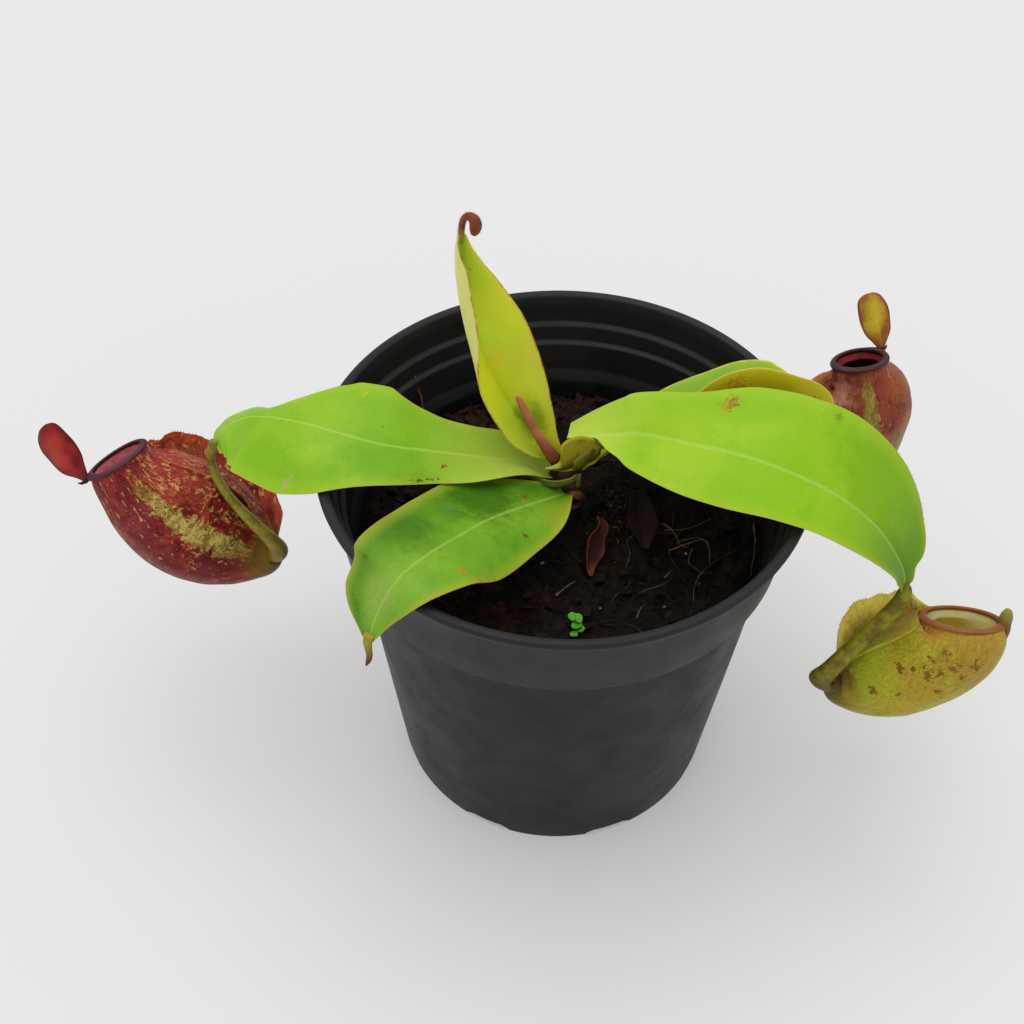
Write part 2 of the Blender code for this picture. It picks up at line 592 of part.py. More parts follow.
make_seedling(4.7, -36.6)
bpy.context.view_layer.update()
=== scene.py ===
# Potted pitcher plant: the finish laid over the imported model.
import math

import bmesh
import bpy
import numpy as np
from mathutils import Matrix, Vector, noise


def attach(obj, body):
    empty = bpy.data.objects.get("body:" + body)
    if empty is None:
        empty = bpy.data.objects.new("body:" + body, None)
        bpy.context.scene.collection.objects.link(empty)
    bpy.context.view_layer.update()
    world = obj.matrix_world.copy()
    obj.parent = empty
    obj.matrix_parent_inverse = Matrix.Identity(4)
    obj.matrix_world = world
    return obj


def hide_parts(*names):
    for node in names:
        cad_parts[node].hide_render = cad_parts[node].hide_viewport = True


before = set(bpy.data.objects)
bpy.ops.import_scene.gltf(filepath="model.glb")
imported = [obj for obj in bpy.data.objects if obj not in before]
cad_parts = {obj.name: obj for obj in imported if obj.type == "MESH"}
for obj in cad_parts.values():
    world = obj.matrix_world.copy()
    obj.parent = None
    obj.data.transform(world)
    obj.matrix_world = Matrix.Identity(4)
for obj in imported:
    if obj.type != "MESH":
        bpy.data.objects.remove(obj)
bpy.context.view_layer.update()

mm = 0.001
tau = 2 * math.pi
helpers = []  # objects that only feed Geometry Nodes, removed at the end


def stage(text):
    print("making", text, flush=True)


# small tools
def tint(code):
    rgb = [int(code[k:k + 2], 16) / 255 for k in (0, 2, 4)]
    return tuple(c / 12.92 if c <= 0.04045 else ((c + 0.055) / 1.055) ** 2.4 for c in rgb) + (1.0,)


def unit(v):
    return np.asarray(v, float) / np.linalg.norm(v)


def smooth(low, high, x):
    t = np.clip((np.asarray(x, float) - low) / (high - low), 0, 1)
    return t * t * (3 - 2 * t)


def spline(rows, count):  # through every row, even steps along the first three columns
    rows = np.asarray(rows, float)
    padded = np.vstack([2 * rows[0] - rows[1], rows, 2 * rows[-1] - rows[-2]])
    fine = []
    for k in range(len(rows) - 1):
        a, b, c, d = padded[k:k + 4]
        for t in np.linspace(0, 1, 32, endpoint=False):
            fine.append(
                0.5
                * (
                    2 * b + (c - a) * t + (2 * a - 5 * b + 4 * c - d) * t ** 2 + (3 * b - a - 3 * c + d)
                    * t ** 3))
    fine = np.array(fine + [rows[-1]])
    run = np.r_[0, np.cumsum(np.linalg.norm(np.diff(fine[:, :3], axis=0), axis=1))]
    at = np.linspace(0, run[-1], count)
    return np.column_stack([np.interp(at, run, column) for column in fine.T])


def tangents(path):
    steps = np.gradient(path, axis=0)
    return steps / np.linalg.norm(steps, axis=1)[:, None]


def show(thing):
    bpy.context.scene.collection.objects.link(thing)
    return thing


def writeField(mesh, label, values):  # one number or one vector for each point
    values = np.asarray(values, float)
    kind, key = ("FLOAT", "value") if values.ndim == 1 else ("FLOAT_VECTOR", "vector")
    layer = mesh.attributes.new(label, kind, "POINT")
    layer.data.foreach_set(key, values.astype(np.float32).ravel())


def meshObject(name, points, faces, finish, sharp=None, fields=None):
    mesh = bpy.data.meshes.new(name)
    mesh.from_pydata((np.asarray(points, float) * mm).tolist(), [], faces)
    mesh.materials.append(finish)
    for label, values in (fields or {}).items():
        writeField(mesh, label, values)
    mesh.shade_smooth()
    if sharp:
        mesh.set_sharp_from_angle(angle=math.radians(sharp))
    mesh.update()
    return show(bpy.data.objects.new(name, mesh))


def loft(name, rings, finish, sharp=None, fields=None, closed=False):
    # a skin over equal closed rings, with a fan on each end, or joined end to end
    rings = np.asarray(rings, float)
    count, sides = rings.shape[:2]
    points = rings.reshape(-1, 3)
    j = np.arange(sides)
    k = (j + 1) % sides
    faces = []
    for i in range(count if closed else count - 1):
        here, there = i * sides, (i + 1) % count * sides
        faces += np.column_stack([here + j, here + k, there + k, there + j]).tolist()
    if not closed:
        points = np.vstack([points, rings[0].mean(0), rings[-1].mean(0)])
        last = (count - 1) * sides
        faces += np.column_stack([k, j, np.full(sides, count * sides)]).tolist()
        faces += np.column_stack([last + j, last + k, np.full(sides, count * sides + 1)]).tolist()
    flat = {}
    for label, values in (fields or {}).items():
        values = np.asarray(values, float)
        ends = [] if closed else [values[0].mean(0), values[-1].mean(0)]
        body = values.reshape(count * sides, *values.shape[2:])
        flat[label] = np.concatenate([body, np.array(ends)]) if len(ends) else body
    quads = np.array([f if len(f) == 4 else f + [f[0]] for f in faces])
    a, b, c, d = (points[quads[:, n]] for n in range(4))
    volume = (np.einsum("ij,ij->i", a, np.cross(b, c)) + np.einsum("ij,ij->i", a, np.cross(c, d))).sum()
    if volume < 0:
        faces = [f[::-1] for f in faces]
    return meshObject(name, points, faces, finish, sharp, flat)


def tubeRings(path, radii, sides, flat=1.0, up=(0, 0, 1), shape=None):
    rings = []
    normal = np.asarray(up, float)
    turn = np.linspace(0, tau, sides, endpoint=False)
    for n, (p, t, r) in enumerate(zip(path, tangents(path), radii)):
        normal = unit(normal - (normal @ t) * t)
        side = np.cross(t, normal)
        reach = r * (shape(turn, n / (len(path) - 1)) if shape else np.ones(sides))
        rings.append(
            p + (reach * np.cos(turn))[:, None] * side + (reach * flat * np.sin(turn))[:, None] * normal)
    return np.array(rings)


def circle(radius, turn, height):
    return np.column_stack(
        [radius * np.cos(turn), radius * np.sin(turn), np.broadcast_to(height, turn.shape)])


def dress(piece, slot, *nodes):
    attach(piece, "root")
    if nodes:
        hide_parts(*nodes)
    return piece


def wobble(points, size, seed=0):  # smooth noise between -1 and 1 at each point, size in millimetres
    points = np.asarray(points, float)
    flat = points.reshape(-1, 3) / size + seed * 7.31
    return np.array([noise.noise(Vector(p)) for p in flat]).reshape(points.shape[:-1])


# writing shader nodes
class Wires:
    def __init__(self, tree):
        self.tree = tree
        self.shader = tree.nodes.get("Principled BSDF")

    def node(self, kind, given=None, **settings):
        made = self.tree.nodes.new(kind)
        for key, value in settings.items():
            setattr(made, key, value)
        for key, value in (given or {}).items():
            if isinstance(value, bpy.types.NodeSocket):
                self.link(value, made.inputs[key])
            else:
                made.inputs[key].default_value = value
        return made

    def calc(self, operation, *values):
        return self.node("ShaderNodeMath", dict(enumerate(values)), operation=operation).outputs[0]

    def plus(self, first, second):
        return self.calc("ADD", first, second)

    def less(self, first, second):
        return self.calc("SUBTRACT", first, second)

    def times(self, first, second):
        return self.calc("MULTIPLY", first, second)

    def around(self, noise, amount):  # noise from 0 to 1 made to sway round zero
        return self.times(self.less(noise, 0.5), amount)

    def link(self, value, socket):
        self.tree.links.new(value, socket)

    def vector(self, operation, *values):
        made = self.node("ShaderNodeVectorMath", dict(enumerate(values)), operation=operation)
        return made.outputs["Value" if operation in ("LENGTH", "DISTANCE") else "Vector"]

    def mix(self, share, low, high):
        return self.node("ShaderNodeMix", {0: share, 6: low, 7: high}, data_type="RGBA").outputs[2]

    def blend(self, share, low, high):
        return self.mix(share, tint(low), tint(high))

    def paint(self, under, code, mask, share=None):  # lays a tint over a colour
        if share is not None:
            mask = self.times(mask, share)
        return self.mix(mask, under, tint(code))

    def remap(self, value, low, high, first=0.0, last=1.0):
        given = {"Value": value, "From Min": low, "From Max": high, "To Min": first, "To Max": last}
        return self.node("ShaderNodeMapRange", given, interpolation_type="SMOOTHSTEP").outputs[0]

    def cloud(self, coords, scale, detail=3.0, rough=0.5, twist=0.0):
        given = {
            "Vector": coords, "Scale": scale, "Detail": detail, "Roughness": rough, "Distortion": twist}
        return self.node("ShaderNodeTexNoise", given).outputs["Fac"]

    def cells(self, coords, scale):
        return self.node("ShaderNodeTexVoronoi", {"Vector": coords, "Scale": scale}).outputs["Distance"]

    def place(self):  # millimetres in the model's own frame
        return self.vector(
            "MULTIPLY", self.node("ShaderNodeTexCoord").outputs["Object"], (1000, 1000, 1000))

    def field(self, name, output="Vector"):
        return self.node("ShaderNodeAttribute", attribute_name=name).outputs[output]

    def split(self, vector):
        return self.node("ShaderNodeSeparateXYZ", {0: vector}).outputs

    def join(self, x, y, z):
        return self.node("ShaderNodeCombineXYZ", {0: x, 1: y, 2: z}).outputs[0]

    def group(self, tree, **given):
        return self.node(
            "ShaderNodeGroup", {k.replace("_", " "): v for k, v in given.items()}, node_tree=tree).outputs

    def wear(self, colour, height, depth, roughness=None):  # joins a finish to its shader
        relief = self.node("ShaderNodeBump", {"Height": height, "Distance": depth * mm, "Strength": 1.0})
        self.link(colour, self.shader.inputs["Base Color"])
        self.link(relief.outputs[0], self.shader.inputs["Normal"])
        if roughness is not None:
            self.link(roughness, self.shader.inputs["Roughness"])

    def random(self, kind, output, seed, given):
        return self.node("FunctionNodeRandomValue", dict(given, Seed=seed), data_type=kind).outputs[output]

    def realise(self, instances, finish):
        real = self.node("GeometryNodeRealizeInstances", {"Geometry": instances.outputs[0]})
        return self.node(
            "GeometryNodeSetMaterial", {"Geometry": real.outputs[0], "Material": finish}).outputs[0]


def newFinish(name, roughness, specular, coat=0.0, soft=0.0):
    material = bpy.data.materials.new(name)
    material.use_nodes = True
    settings = {
        "Roughness": roughness, "Specular IOR Level": specular, "Coat Weight": coat, "Coat Roughness": 0.15}
    if soft:
        settings.update(
            {"Subsurface Weight": soft, "Subsurface Radius": (1.0, 0.8, 0.3), "Subsurface Scale": 0.0025})
    wires = Wires(material.node_tree)
    for label, value in settings.items():
        wires.shader.inputs[label].default_value = value
    return material, wires


def newTree(use, name, inputs, outputs):
    tree = bpy.data.node_groups.new(name, use)
    for label, kind, start in inputs:
        socket = tree.interface.new_socket(label, in_out="INPUT", socket_type=kind)
        if start is not None:
            socket.default_value = start
    for label, kind in outputs:
        tree.interface.new_socket(label, in_out="OUTPUT", socket_type=kind)
    wires = Wires(tree)
    return tree, wires, wires.node("NodeGroupInput").outputs, wires.node("NodeGroupOutput").inputs


number, vector3 = "NodeSocketFloat", "NodeSocketVector"


def patchInputs(**numbers):
    sockets = [("Skin", vector3, (0, 0, 0)), ("Place", vector3, (0, 0, 0)), ("Stretch", vector3, (1, 1, 1))]
    return sockets + [(label, number, start) for label, start in numbers.items()]


def patchReach(w, given, twist):  # distance from the place over the radius, and noise round zero
    away = w.vector("MULTIPLY", w.vector("SUBTRACT", given["Skin"], given["Place"]), given["Stretch"])
    share = w.calc("DIVIDE", w.vector("LENGTH", away), given["Radius"])
    return share, w.less(w.cloud(w.place(), given["Grain"], 3.0, 0.6, twist), 0.5)


def makeRaggedSpot():  # a cluster of small marks at a place on a blade or a cup
    tree, w, given, out = newTree(
        "ShaderNodeTree", "raggedSpot", patchInputs(Radius=1.0, Ragged=1.0, Grain=1.0), (("Mask", number),))
    share, rough = patchReach(w, given, 0.6)
    score = w.plus(w.less(1.0, share), w.times(w.times(rough, given["Ragged"]), 2.4))
    w.link(w.remap(score, 0.40, 0.62), out["Mask"])
    return tree


def makeSoftPatch():  # a zone of another colour with a clouded edge
    tree, w, given, out = newTree(
        "ShaderNodeTree", "softPatch", patchInputs(Radius=1.0, Warp=0.6, Grain=0.3), (("Mask", number),))
    share, rough = patchReach(w, given, 0.4)
    score = w.plus(share, w.times(w.times(rough, given["Warp"]), 2.0))
    w.link(w.remap(score, 0.25, 1.1, 1.0, 0.0), out["Mask"])
    return tree


def makeBladeMarks():  # midrib, side veins and margin of a blade
    tree, w, given, out = newTree(
        "ShaderNodeTree", "bladeMarks",
        (("Blade", vector3, (0, 0, 0)), ("Rib Width", number, 0.6), ("Veins", number, 30.0),
         ("Margin", number, 0.97)),
        (("Midrib", number), ("Vein", number), ("Edge", number)))
    along, across, reach = w.split(given["Blade"])
    aside = w.calc("ABSOLUTE", across)
    shaky = w.less(w.cloud(w.place(), 0.35, 2.0), 0.5)
    rib = w.plus(w.calc("ABSOLUTE", reach), w.times(shaky, 0.25))
    width = w.times(given["Rib Width"], w.less(1.15, w.times(along, 0.55)))
    w.link(w.remap(w.calc("DIVIDE", rib, width), 0.3, 1.3, 1.0, 0.0), out["Midrib"])
    lean = w.less(along, w.times(w.calc("POWER", aside, 1.4), 0.16))
    lean = w.plus(lean, w.times(shaky, 0.035))
    comb = w.calc("ABSOLUTE", w.calc("SINE", w.times(lean, w.times(given["Veins"], math.pi))))
    side = w.remap(comb, 0.0, 0.16, 1.0, 0.0)
    long = w.plus(aside, w.times(shaky, 0.05))
    bow = w.calc("ABSOLUTE", w.calc("SINE", w.times(long, 4.6 * math.pi)))
    run = w.remap(bow, 0.0, 0.07, 0.8, 0.0)
    fade = w.remap(aside, 0.03, 0.16)
    w.link(w.times(w.calc("MAXIMUM", side, run), fade), out["Vein"])
    rough = w.around(w.cloud(w.place(), 0.9, 3.0), 0.05)
    w.link(w.remap(w.plus(aside, rough), given["Margin"], w.plus(given["Margin"], 0.035)), out["Edge"])
    return tree


def makeFlecks():  # small scattered flecks, stretched along one way of the coordinates
    tree, w, given, out = newTree(
        "ShaderNodeTree", "flecks",
        (("Coords", vector3, (0, 0, 0)), ("Scale", number, 1.0), ("Amount", number, 0.4),
         ("Size", number, 0.25)),
        (("Mask", number),))
    coords = {"Vector": given["Coords"], "Scale": w.times(given["Scale"], 1.3)}
    stray = w.vector("MULTIPLY", w.node("ShaderNodeTexNoise", coords).outputs["Color"], (0.6, 0.6, 0.6))
    bent = w.vector("ADD", given["Coords"], stray)
    dots = w.remap(w.cells(bent, given["Scale"]), w.times(given["Size"], 0.55), given["Size"], 1.0, 0.0)
    some = w.cloud(given["Coords"], w.times(given["Scale"], 0.35), 2.0)
    here = w.remap(some, w.less(0.92, given["Amount"]), w.less(1.02, given["Amount"]))
    w.link(w.times(dots, here), out["Mask"])
    return tree


stage("shared effects")
raggedSpot = makeRaggedSpot()
softPatch = makeSoftPatch()
bladeMarks = makeBladeMarks()
flecks = makeFlecks()


# leaf finishes
def leafFinish(name, look):
    material, w = newFinish(name, look["roughness"], look["specular"], soft=look["soft"])
    blade, place = w.field("blade"), w.place()
    along, across = w.split(blade)[:2]
    marks = w.group(
        bladeMarks, Blade=blade, Rib_Width=look["rib"], Veins=look["veins"], Margin=look["margin"])
    broad = w.remap(w.cloud(place, 0.045, 2.0, 0.5, 0.6), 0.35, 0.68)
    colour = w.blend(broad, look["green"], look["bright"])
    patch = w.remap(w.cloud(place, 0.16, 4.0, 0.62, 0.4), 0.5, 0.72)
    colour = w.paint(colour, look["deep"], patch, look["mottle"])
    colour = w.paint(colour, look["base"], w.remap(along, *look["baseRun"], 1.0, 0.0), look["baseShare"])
    colour = w.paint(colour, look["tip"], w.remap(along, *look["tipRun"]), look["tipShare"])
    # one half of the blade takes the side tint: on the front leaf and the crown clasps it is painted shade
    # on the half turned from the light, on the withered leaves a painted highlight on the half turned to it
    halfTone = w.remap(w.times(across, look["sideSign"]), -0.1, 0.9)
    colour = w.paint(colour, look["side"], halfTone, look["sideShare"])
    for at, radius, code, share in look.get("zones", ()):
        zone = w.group(
            softPatch, Skin=w.join(along, across, 0.0), Place=(*at, 0.0), Radius=radius, Warp=0.8,
            Stretch=(look["length"], look["half"], 0.0), Grain=0.22)["Mask"]
        colour = w.paint(colour, code, zone, share)
    fine = w.cloud(place, 1.6, 3.0, 0.6)
    colour = w.paint(colour, look["deep"], w.remap(fine, 0.35, 0.75, 0.0, 0.16))
    colour = w.paint(colour, look["vein"], marks["Vein"], look["veinShare"])
    colour = w.paint(colour, look["ribTint"], marks["Midrib"], look["ribShare"])
    pale = w.group(flecks, Coords=place, Scale=0.55, Amount=0.42, Size=0.16)["Mask"]
    colour = w.paint(colour, look["ribTint"], pale, look["motes"])
    # pale margin: the leaves' own yellowing, and on the crown clasps, with the edge tint below, a painted
    # highlight along the edges
    marginYellowingAndHighlight = w.times(w.remap(w.calc("ABSOLUTE", across), 0.72, 0.98), look["marginGlow"])
    colour = w.paint(colour, look["glow"], marginYellowingAndHighlight)
    under = w.field("under", "Fac")
    colour = w.mix(
        w.remap(under, 0.3, 0.7), colour,
        w.blend(w.times(marks["Midrib"], 0.6), look["under"], look["ribTint"]))
    patchy = w.remap(w.cloud(place, 0.25, 2.0), 0.35, 0.6, 0.35, 1.0)
    edge = w.times(w.times(marks["Edge"], patchy), look["edgeShare"])
    colour = w.paint(colour, look["edge"], edge)
    flat = w.join(along, across, 0.0)
    for mark in look["spots"]:
        stretch = (look["length"] * mark["slim"], look["half"], 0.0)
        mask = w.group(
            raggedSpot, Skin=flat, Place=mark["at"], Stretch=stretch, Radius=mark["size"],
            Ragged=mark["ragged"], Grain=mark["grain"])["Mask"]
        colour = w.paint(colour, mark["tint"], mask, mark["share"])
    relief = w.plus(w.times(marks["Vein"], -0.18), w.times(fine, 0.45))
    relief = w.plus(relief, w.times(w.cloud(place, 0.28, 2.0), 1.6))
    w.wear(
        colour, relief, look["relief"],
        w.remap(fine, 0.3, 0.7, look["roughness"] - 0.05, look["roughness"] + 0.08))
    return material


def spot(along, across, size, code, share=0.85, slim=1.0, ragged=1.2, grain=1.1):
    return {
        "at": (along, across, 0.0), "size": size, "tint": code, "share": share, "slim": slim,
        "ragged": ragged, "grain": grain}


youngGreens = dict(
    green="8fc21a", bright="a8d028", deep="5f9e10", base="b3cf3a", baseRun=(0.0, 0.25), baseShare=0.4,
    tip="5e8f12", tipRun=(0.72, 0.98), tipShare=0.7, side="a9d22c", sideSign=-1.0, sideShare=0.25,
    vein="c0e050", veinShare=0.10, ribTint="cfe080", ribShare=0.5, rib=0.45, veins=34.0, margin=0.965,
    marginGlow=0.25, glow="c3d63c", edge="b9a040", edgeShare=0.75, under="9fb53a", mottle=0.22,
    roughness=0.40, specular=0.13, soft=0.0, relief=0.10, motes=0.3, spots=[])


# leaves as blades
bladeThick = {"edge": 0.22, "middle": 0.62, "rib": 1.05}


def bladeRings(rows, stations, waves, up, shares, crease=0.22, flutter=0.25, seed=1):
    data = spline(rows, stations)
    path, along = data[:, :3], tangents(data[:, :3])
    up = np.asarray(up, float)
    v = np.linspace(0, 1, stations)
    normal = up - (along @ up)[:, None] * along
    normal /= np.linalg.norm(normal, axis=1)[:, None]
    side = np.cross(along, normal)
    s = np.asarray(shares, float)
    right = (s > 0).astype(int)
    width, lift, curl = (data[:, k:k + 2][:, right] for k in (3, 5, 7))
    lift, curl = np.radians(lift), np.radians(curl)
    reach = np.abs(s) * width
    bend = curl * np.abs(s)
    safe = np.where(np.abs(bend) < 1e-4, 1.0, bend)
    x = reach * np.where(np.abs(bend) < 1e-4, np.cos(lift), (np.sin(lift + bend) - np.sin(lift)) / safe)
    z = reach * np.where(np.abs(bend) < 1e-4, np.sin(lift), (np.cos(lift) - np.cos(lift + bend)) / safe)
    angle, sign = lift + bend, np.where(s < 0, -1.0, 1.0)
    amplitude, count, phaseLeft, phaseRight = waves
    phase = np.where(s > 0, phaseRight, phaseLeft)
    fade = (s ** 2) * (np.sin(math.pi * v) ** 0.5)[:, None]
    wave = amplitude * fade * np.sin(tau * count * v[:, None] + phase)
    out = np.cos(angle)[..., None] * normal[:, None] - (sign * np.sin(angle))[..., None] * side[:, None]
    out[:, s == 0] = normal[:, None]
    top = path[:, None] + (sign * x)[..., None] * side[:, None] + z[..., None] * normal[:, None]
    top = top - wave[..., None] * out
    spread = np.abs(s) * width
    groove = crease * np.exp(-(spread / 0.9) ** 2) * smooth(0.02, 0.12, v)[:, None]
    lively = flutter * wobble(top, 9.0, seed) * smooth(0.05, 0.5, np.abs(s))
    lively = lively * np.sin(math.pi * v)[:, None] ** 0.6
    top = top + (lively - groove)[..., None] * out
    thick = bladeThick["edge"] + (bladeThick["middle"] - bladeThick["edge"]) * (1 - s ** 2)
    ridge = bladeThick["rib"] * np.exp(-(spread / 1.1) ** 2) * (1 - 0.55 * v)[:, None]
    low = top - (thick[None, :] * np.minimum(1, width / 3 + 0.3) + ridge)[..., None] * out
    rings = np.concatenate([top, low[:, ::-1]], axis=1)
    marks = np.stack(
        [np.repeat(v[:, None], len(s), 1), np.repeat(s[None], stations, 0), sign * spread], axis=-1)
    blade = np.concatenate([marks, marks[:, ::-1]], axis=1)
    under = np.concatenate([np.zeros_like(spread), np.ones_like(spread)], axis=1)
    return rings, {"blade": blade, "under": under}


acrossShares = np.concatenate([-np.linspace(1, 0.05, 20) ** 0.9, [0.0], np.linspace(0.05, 1, 20) ** 0.9])

# rows: midrib x y z, half widths, lift angles, curls, left then right seen from base to tip
leafLeft = {
    "rows": [
        (-4.4, 3.4, 101.5, 2.6, 3.2, 38, 38, 0, 0), (-11.5, 2.1, 107.5, 4.8, 7.3, 10, 24, -10, 0),
        (-23.3, -2.2, 113.5, 8.2, 9.3, -10, 16, -10, 5), (-34.7, -5.2, 117.8, 9.2, 12.1, -15, 12, -12, 5),
        (-46.2, -7.0, 121.0, 11.8, 16.6, -16, 12, -8, 0), (-58.3, -4.8, 122.5, 18.0, 18.0, -17, 8, -8, 0),
        (-66.0, -2.0, 122.2, 20.2, 15.6, -18, 2, -6, 0), (-74.0, 1.7, 120.2, 19.0, 7.4, -20, -2, -8, 0),
        (-79.2, 4.3, 118.1, 17.6, 3.9, -21, -4, -8, 0), (-84.6, 6.7, 115.4, 15.8, 5.2, -20, -6, -4, 0),
        (-90.2, 7.6, 111.4, 12.6, 5.6, -16, -10, 0, 0), (-93.4, 7.4, 108.0, 8.2, 3.4, -12, -10, 0, 0),
        (-94.9, 6.9, 105.6, 5.0, 0.9, -10, -10, 0, 0)],
    "stations": 180, "waves": (1.1, 3.2, 0.6, 2.4), "up": (0, 0, 1),
    "look": dict(
        youngGreens, green="86bc1e", bright="9fca30", deep="62a314", base="c6d45a", baseRun=(0.05, 0.42),
        baseShare=0.8, tip="8cc424", tipShare=0.4, side="93c42e", sideSign=1.0, ribTint="c9dc6a",
        ribShare=0.42, length=110.0, half=14.0, edge="b6b048", mottle=0.3,
        zones=[((0.45, -0.5), 14.0, "6fb01c", 0.6), ((0.6, 0.1), 10.0, "a0cc3c", 0.5)],
        spots=[
            spot(0.308, -0.47, 1.5, "8a4a1c"),
            spot(0.34, -0.86, 0.8, "5d4a1c", share=0.7, slim=0.2, ragged=1.6),
            spot(0.37, -0.90, 0.7, "5d4a1c", share=0.7, slim=0.2, ragged=1.6),
            spot(0.555, 0.80, 1.6, "d0b83a", share=0.8, ragged=0.8),
            spot(0.642, -0.84, 2.0, "b8a87c", share=0.6, grain=0.8), spot(0.47, 0.30, 0.35, "5d6a1c"),
            spot(0.93, 0.62, 1.0, "8a6a20", share=0.7)])}
leafRight = {
    "rows": [
        (0.5, 9.2, 110.8, 4.4, 0.6, 16, 20, 0, 0), (7.6, 7.2, 113.6, 8.4, 1.0, 24, 12, 0, 0),
        (13.4, 5.0, 116.8, 11.0, 6.6, 28, -2, -6, -5), (20.4, 2.1, 120.0, 13.5, 11.2, 26, -8, -14, -10),
        (32.1, -5.9, 125.0, 18.0, 14.0, 22, -14, -16, -10),
        (43.9, -11.0, 127.0, 21.5, 15.0, 21, -16, -14, -10),
        (55.8, -14.7, 125.5, 23.0, 13.5, 22, -18, -12, -10),
        (68.8, -15.9, 119.0, 23.4, 12.0, 24, -18, -8, -8), (80.5, -16.6, 108.5, 20.8, 9.5, 28, -16, -6, -5),
        (88.0, -17.4, 97.2, 13.9, 6.0, 28, -12, -5, 0), (90.6, -18.2, 91.0, 5.6, 3.6, 14, -6, 0, 0),
        (91.3, -18.6, 87.4, 1.7, 1.7, 0, 0, 0, 0)],
    "stations": 180, "waves": (0.5, 2.6, 0.3, 1.9), "up": (0, 0, 1),
    "look": dict(
        youngGreens, green="93c81c", bright="a6d02a", deep="6fae14", length=128.0, half=18.0, base="d2e85c",
        # the dark tip tint is painted shade where the blade bends down away from the light
        baseRun=(0.02, 0.24), baseShare=0.85, tip="567f0c", tipRun=(0.62, 0.98), tipShare=0.9,
        side="88bd20", sideSign=-1.0, sideShare=0.3, edge="c0b450", mottle=0.16, rib=0.6, ribShare=0.3,
        zones=[
            ((0.75, -0.6), 20.0, "82b414", 0.7), ((0.3, 0.4), 10.0, "a8d634", 0.5),
            ((0.06, -1.0), 3.6, "bfa46a", 0.5)],
        spots=[
            spot(0.372, -0.74, 3.0, "a8601c", ragged=1.7, grain=1.0),
            spot(0.356, -0.70, 3.2, "b8862a", ragged=1.9, grain=1.4, share=0.6),
            spot(0.335, -0.71, 0.5, "94602a"),
            spot(0.62, -0.86, 1.6, "5f6a14", share=0.6, grain=2.2, ragged=2.0)])}
leafFront = {
    "rows": [
        (0.2, -1.2, 99.4, 3.2, 2.6, 30, 30, 0, 0), (-7.4, -9.2, 104.2, 11.0, 9.0, -5, 12, 0, 0),
        (-17.5, -19.4, 109.0, 14.6, 14.6, -12, 10, -8, 0),
        (-25.2, -30.5, 114.0, 15.2, 15.9, -15, 8, -10, 0), (-32.3, -42.4, 119.3, 13.0, 15.4, -6, 6, -6, 0),
        (-37.9, -50.6, 120.2, 9.4, 14.8, -6, 4, -6, -8), (-42.4, -55.0, 113.6, 5.4, 12.8, -10, 0, -8, -8),
        (-44.9, -58.3, 106.0, 1.3, 2.0, 0, 0, 0, 0)],
    "stations": 140, "waves": (0.45, 2.2, 1.4, 0.4), "up": (0, 0, 1),
    "look": dict(
        # the dark side tint on the far half and the two dark zones there are painted shade; the light zone
        # on the near half is painted light, and the grey-blue patch on the far half a painted sheen
        youngGreens, green="68a41a", bright="86b82c", deep="44800e", base="5a8c16", baseShare=0.5,
        tip="8cba40", tipRun=(0.55, 0.85), tipShare=0.6, side="43790a", sideSign=1.0, sideShare=0.7,
        length=78.0, half=12.5, ribTint="b0d058", ribShare=0.5, veinShare=0.12, marginGlow=0.5,
        glow="b4bb34", edge="b8923a", edgeShare=0.9, mottle=0.5, relief=0.16,
        zones=[
            ((0.28, 0.55), 13.0, "2f6408", 0.75), ((0.62, 0.6), 9.0, "356c0c", 0.6),
            ((0.5, -0.35), 10.0, "7cb42c", 0.6), ((0.42, 0.5), 3.0, "5f8f4c", 0.25),
            ((0.87, 0.1), 7.0, "97b450", 0.6), ((0.1, -0.8), 8.0, "a3a624", 0.6)],
        spots=[
            spot(0.158, 0.27, 1.5, "8a5a20", grain=1.5), spot(0.19, 0.18, 1.0, "96641f", grain=1.6),
            spot(0.267, -0.60, 1.5, "6a4a18", grain=1.4),
            spot(0.625, -0.66, 1.9, "c8862c", ragged=0.9, share=0.8), spot(0.60, -0.92, 1.2, "b5652a"),
            spot(0.93, 0.6, 2.4, "3f5a18", share=0.5, ragged=1.8, grain=2.2),
            spot(0.80, 0.75, 1.6, "36560f", share=0.4, ragged=1.8, grain=2.2)])}
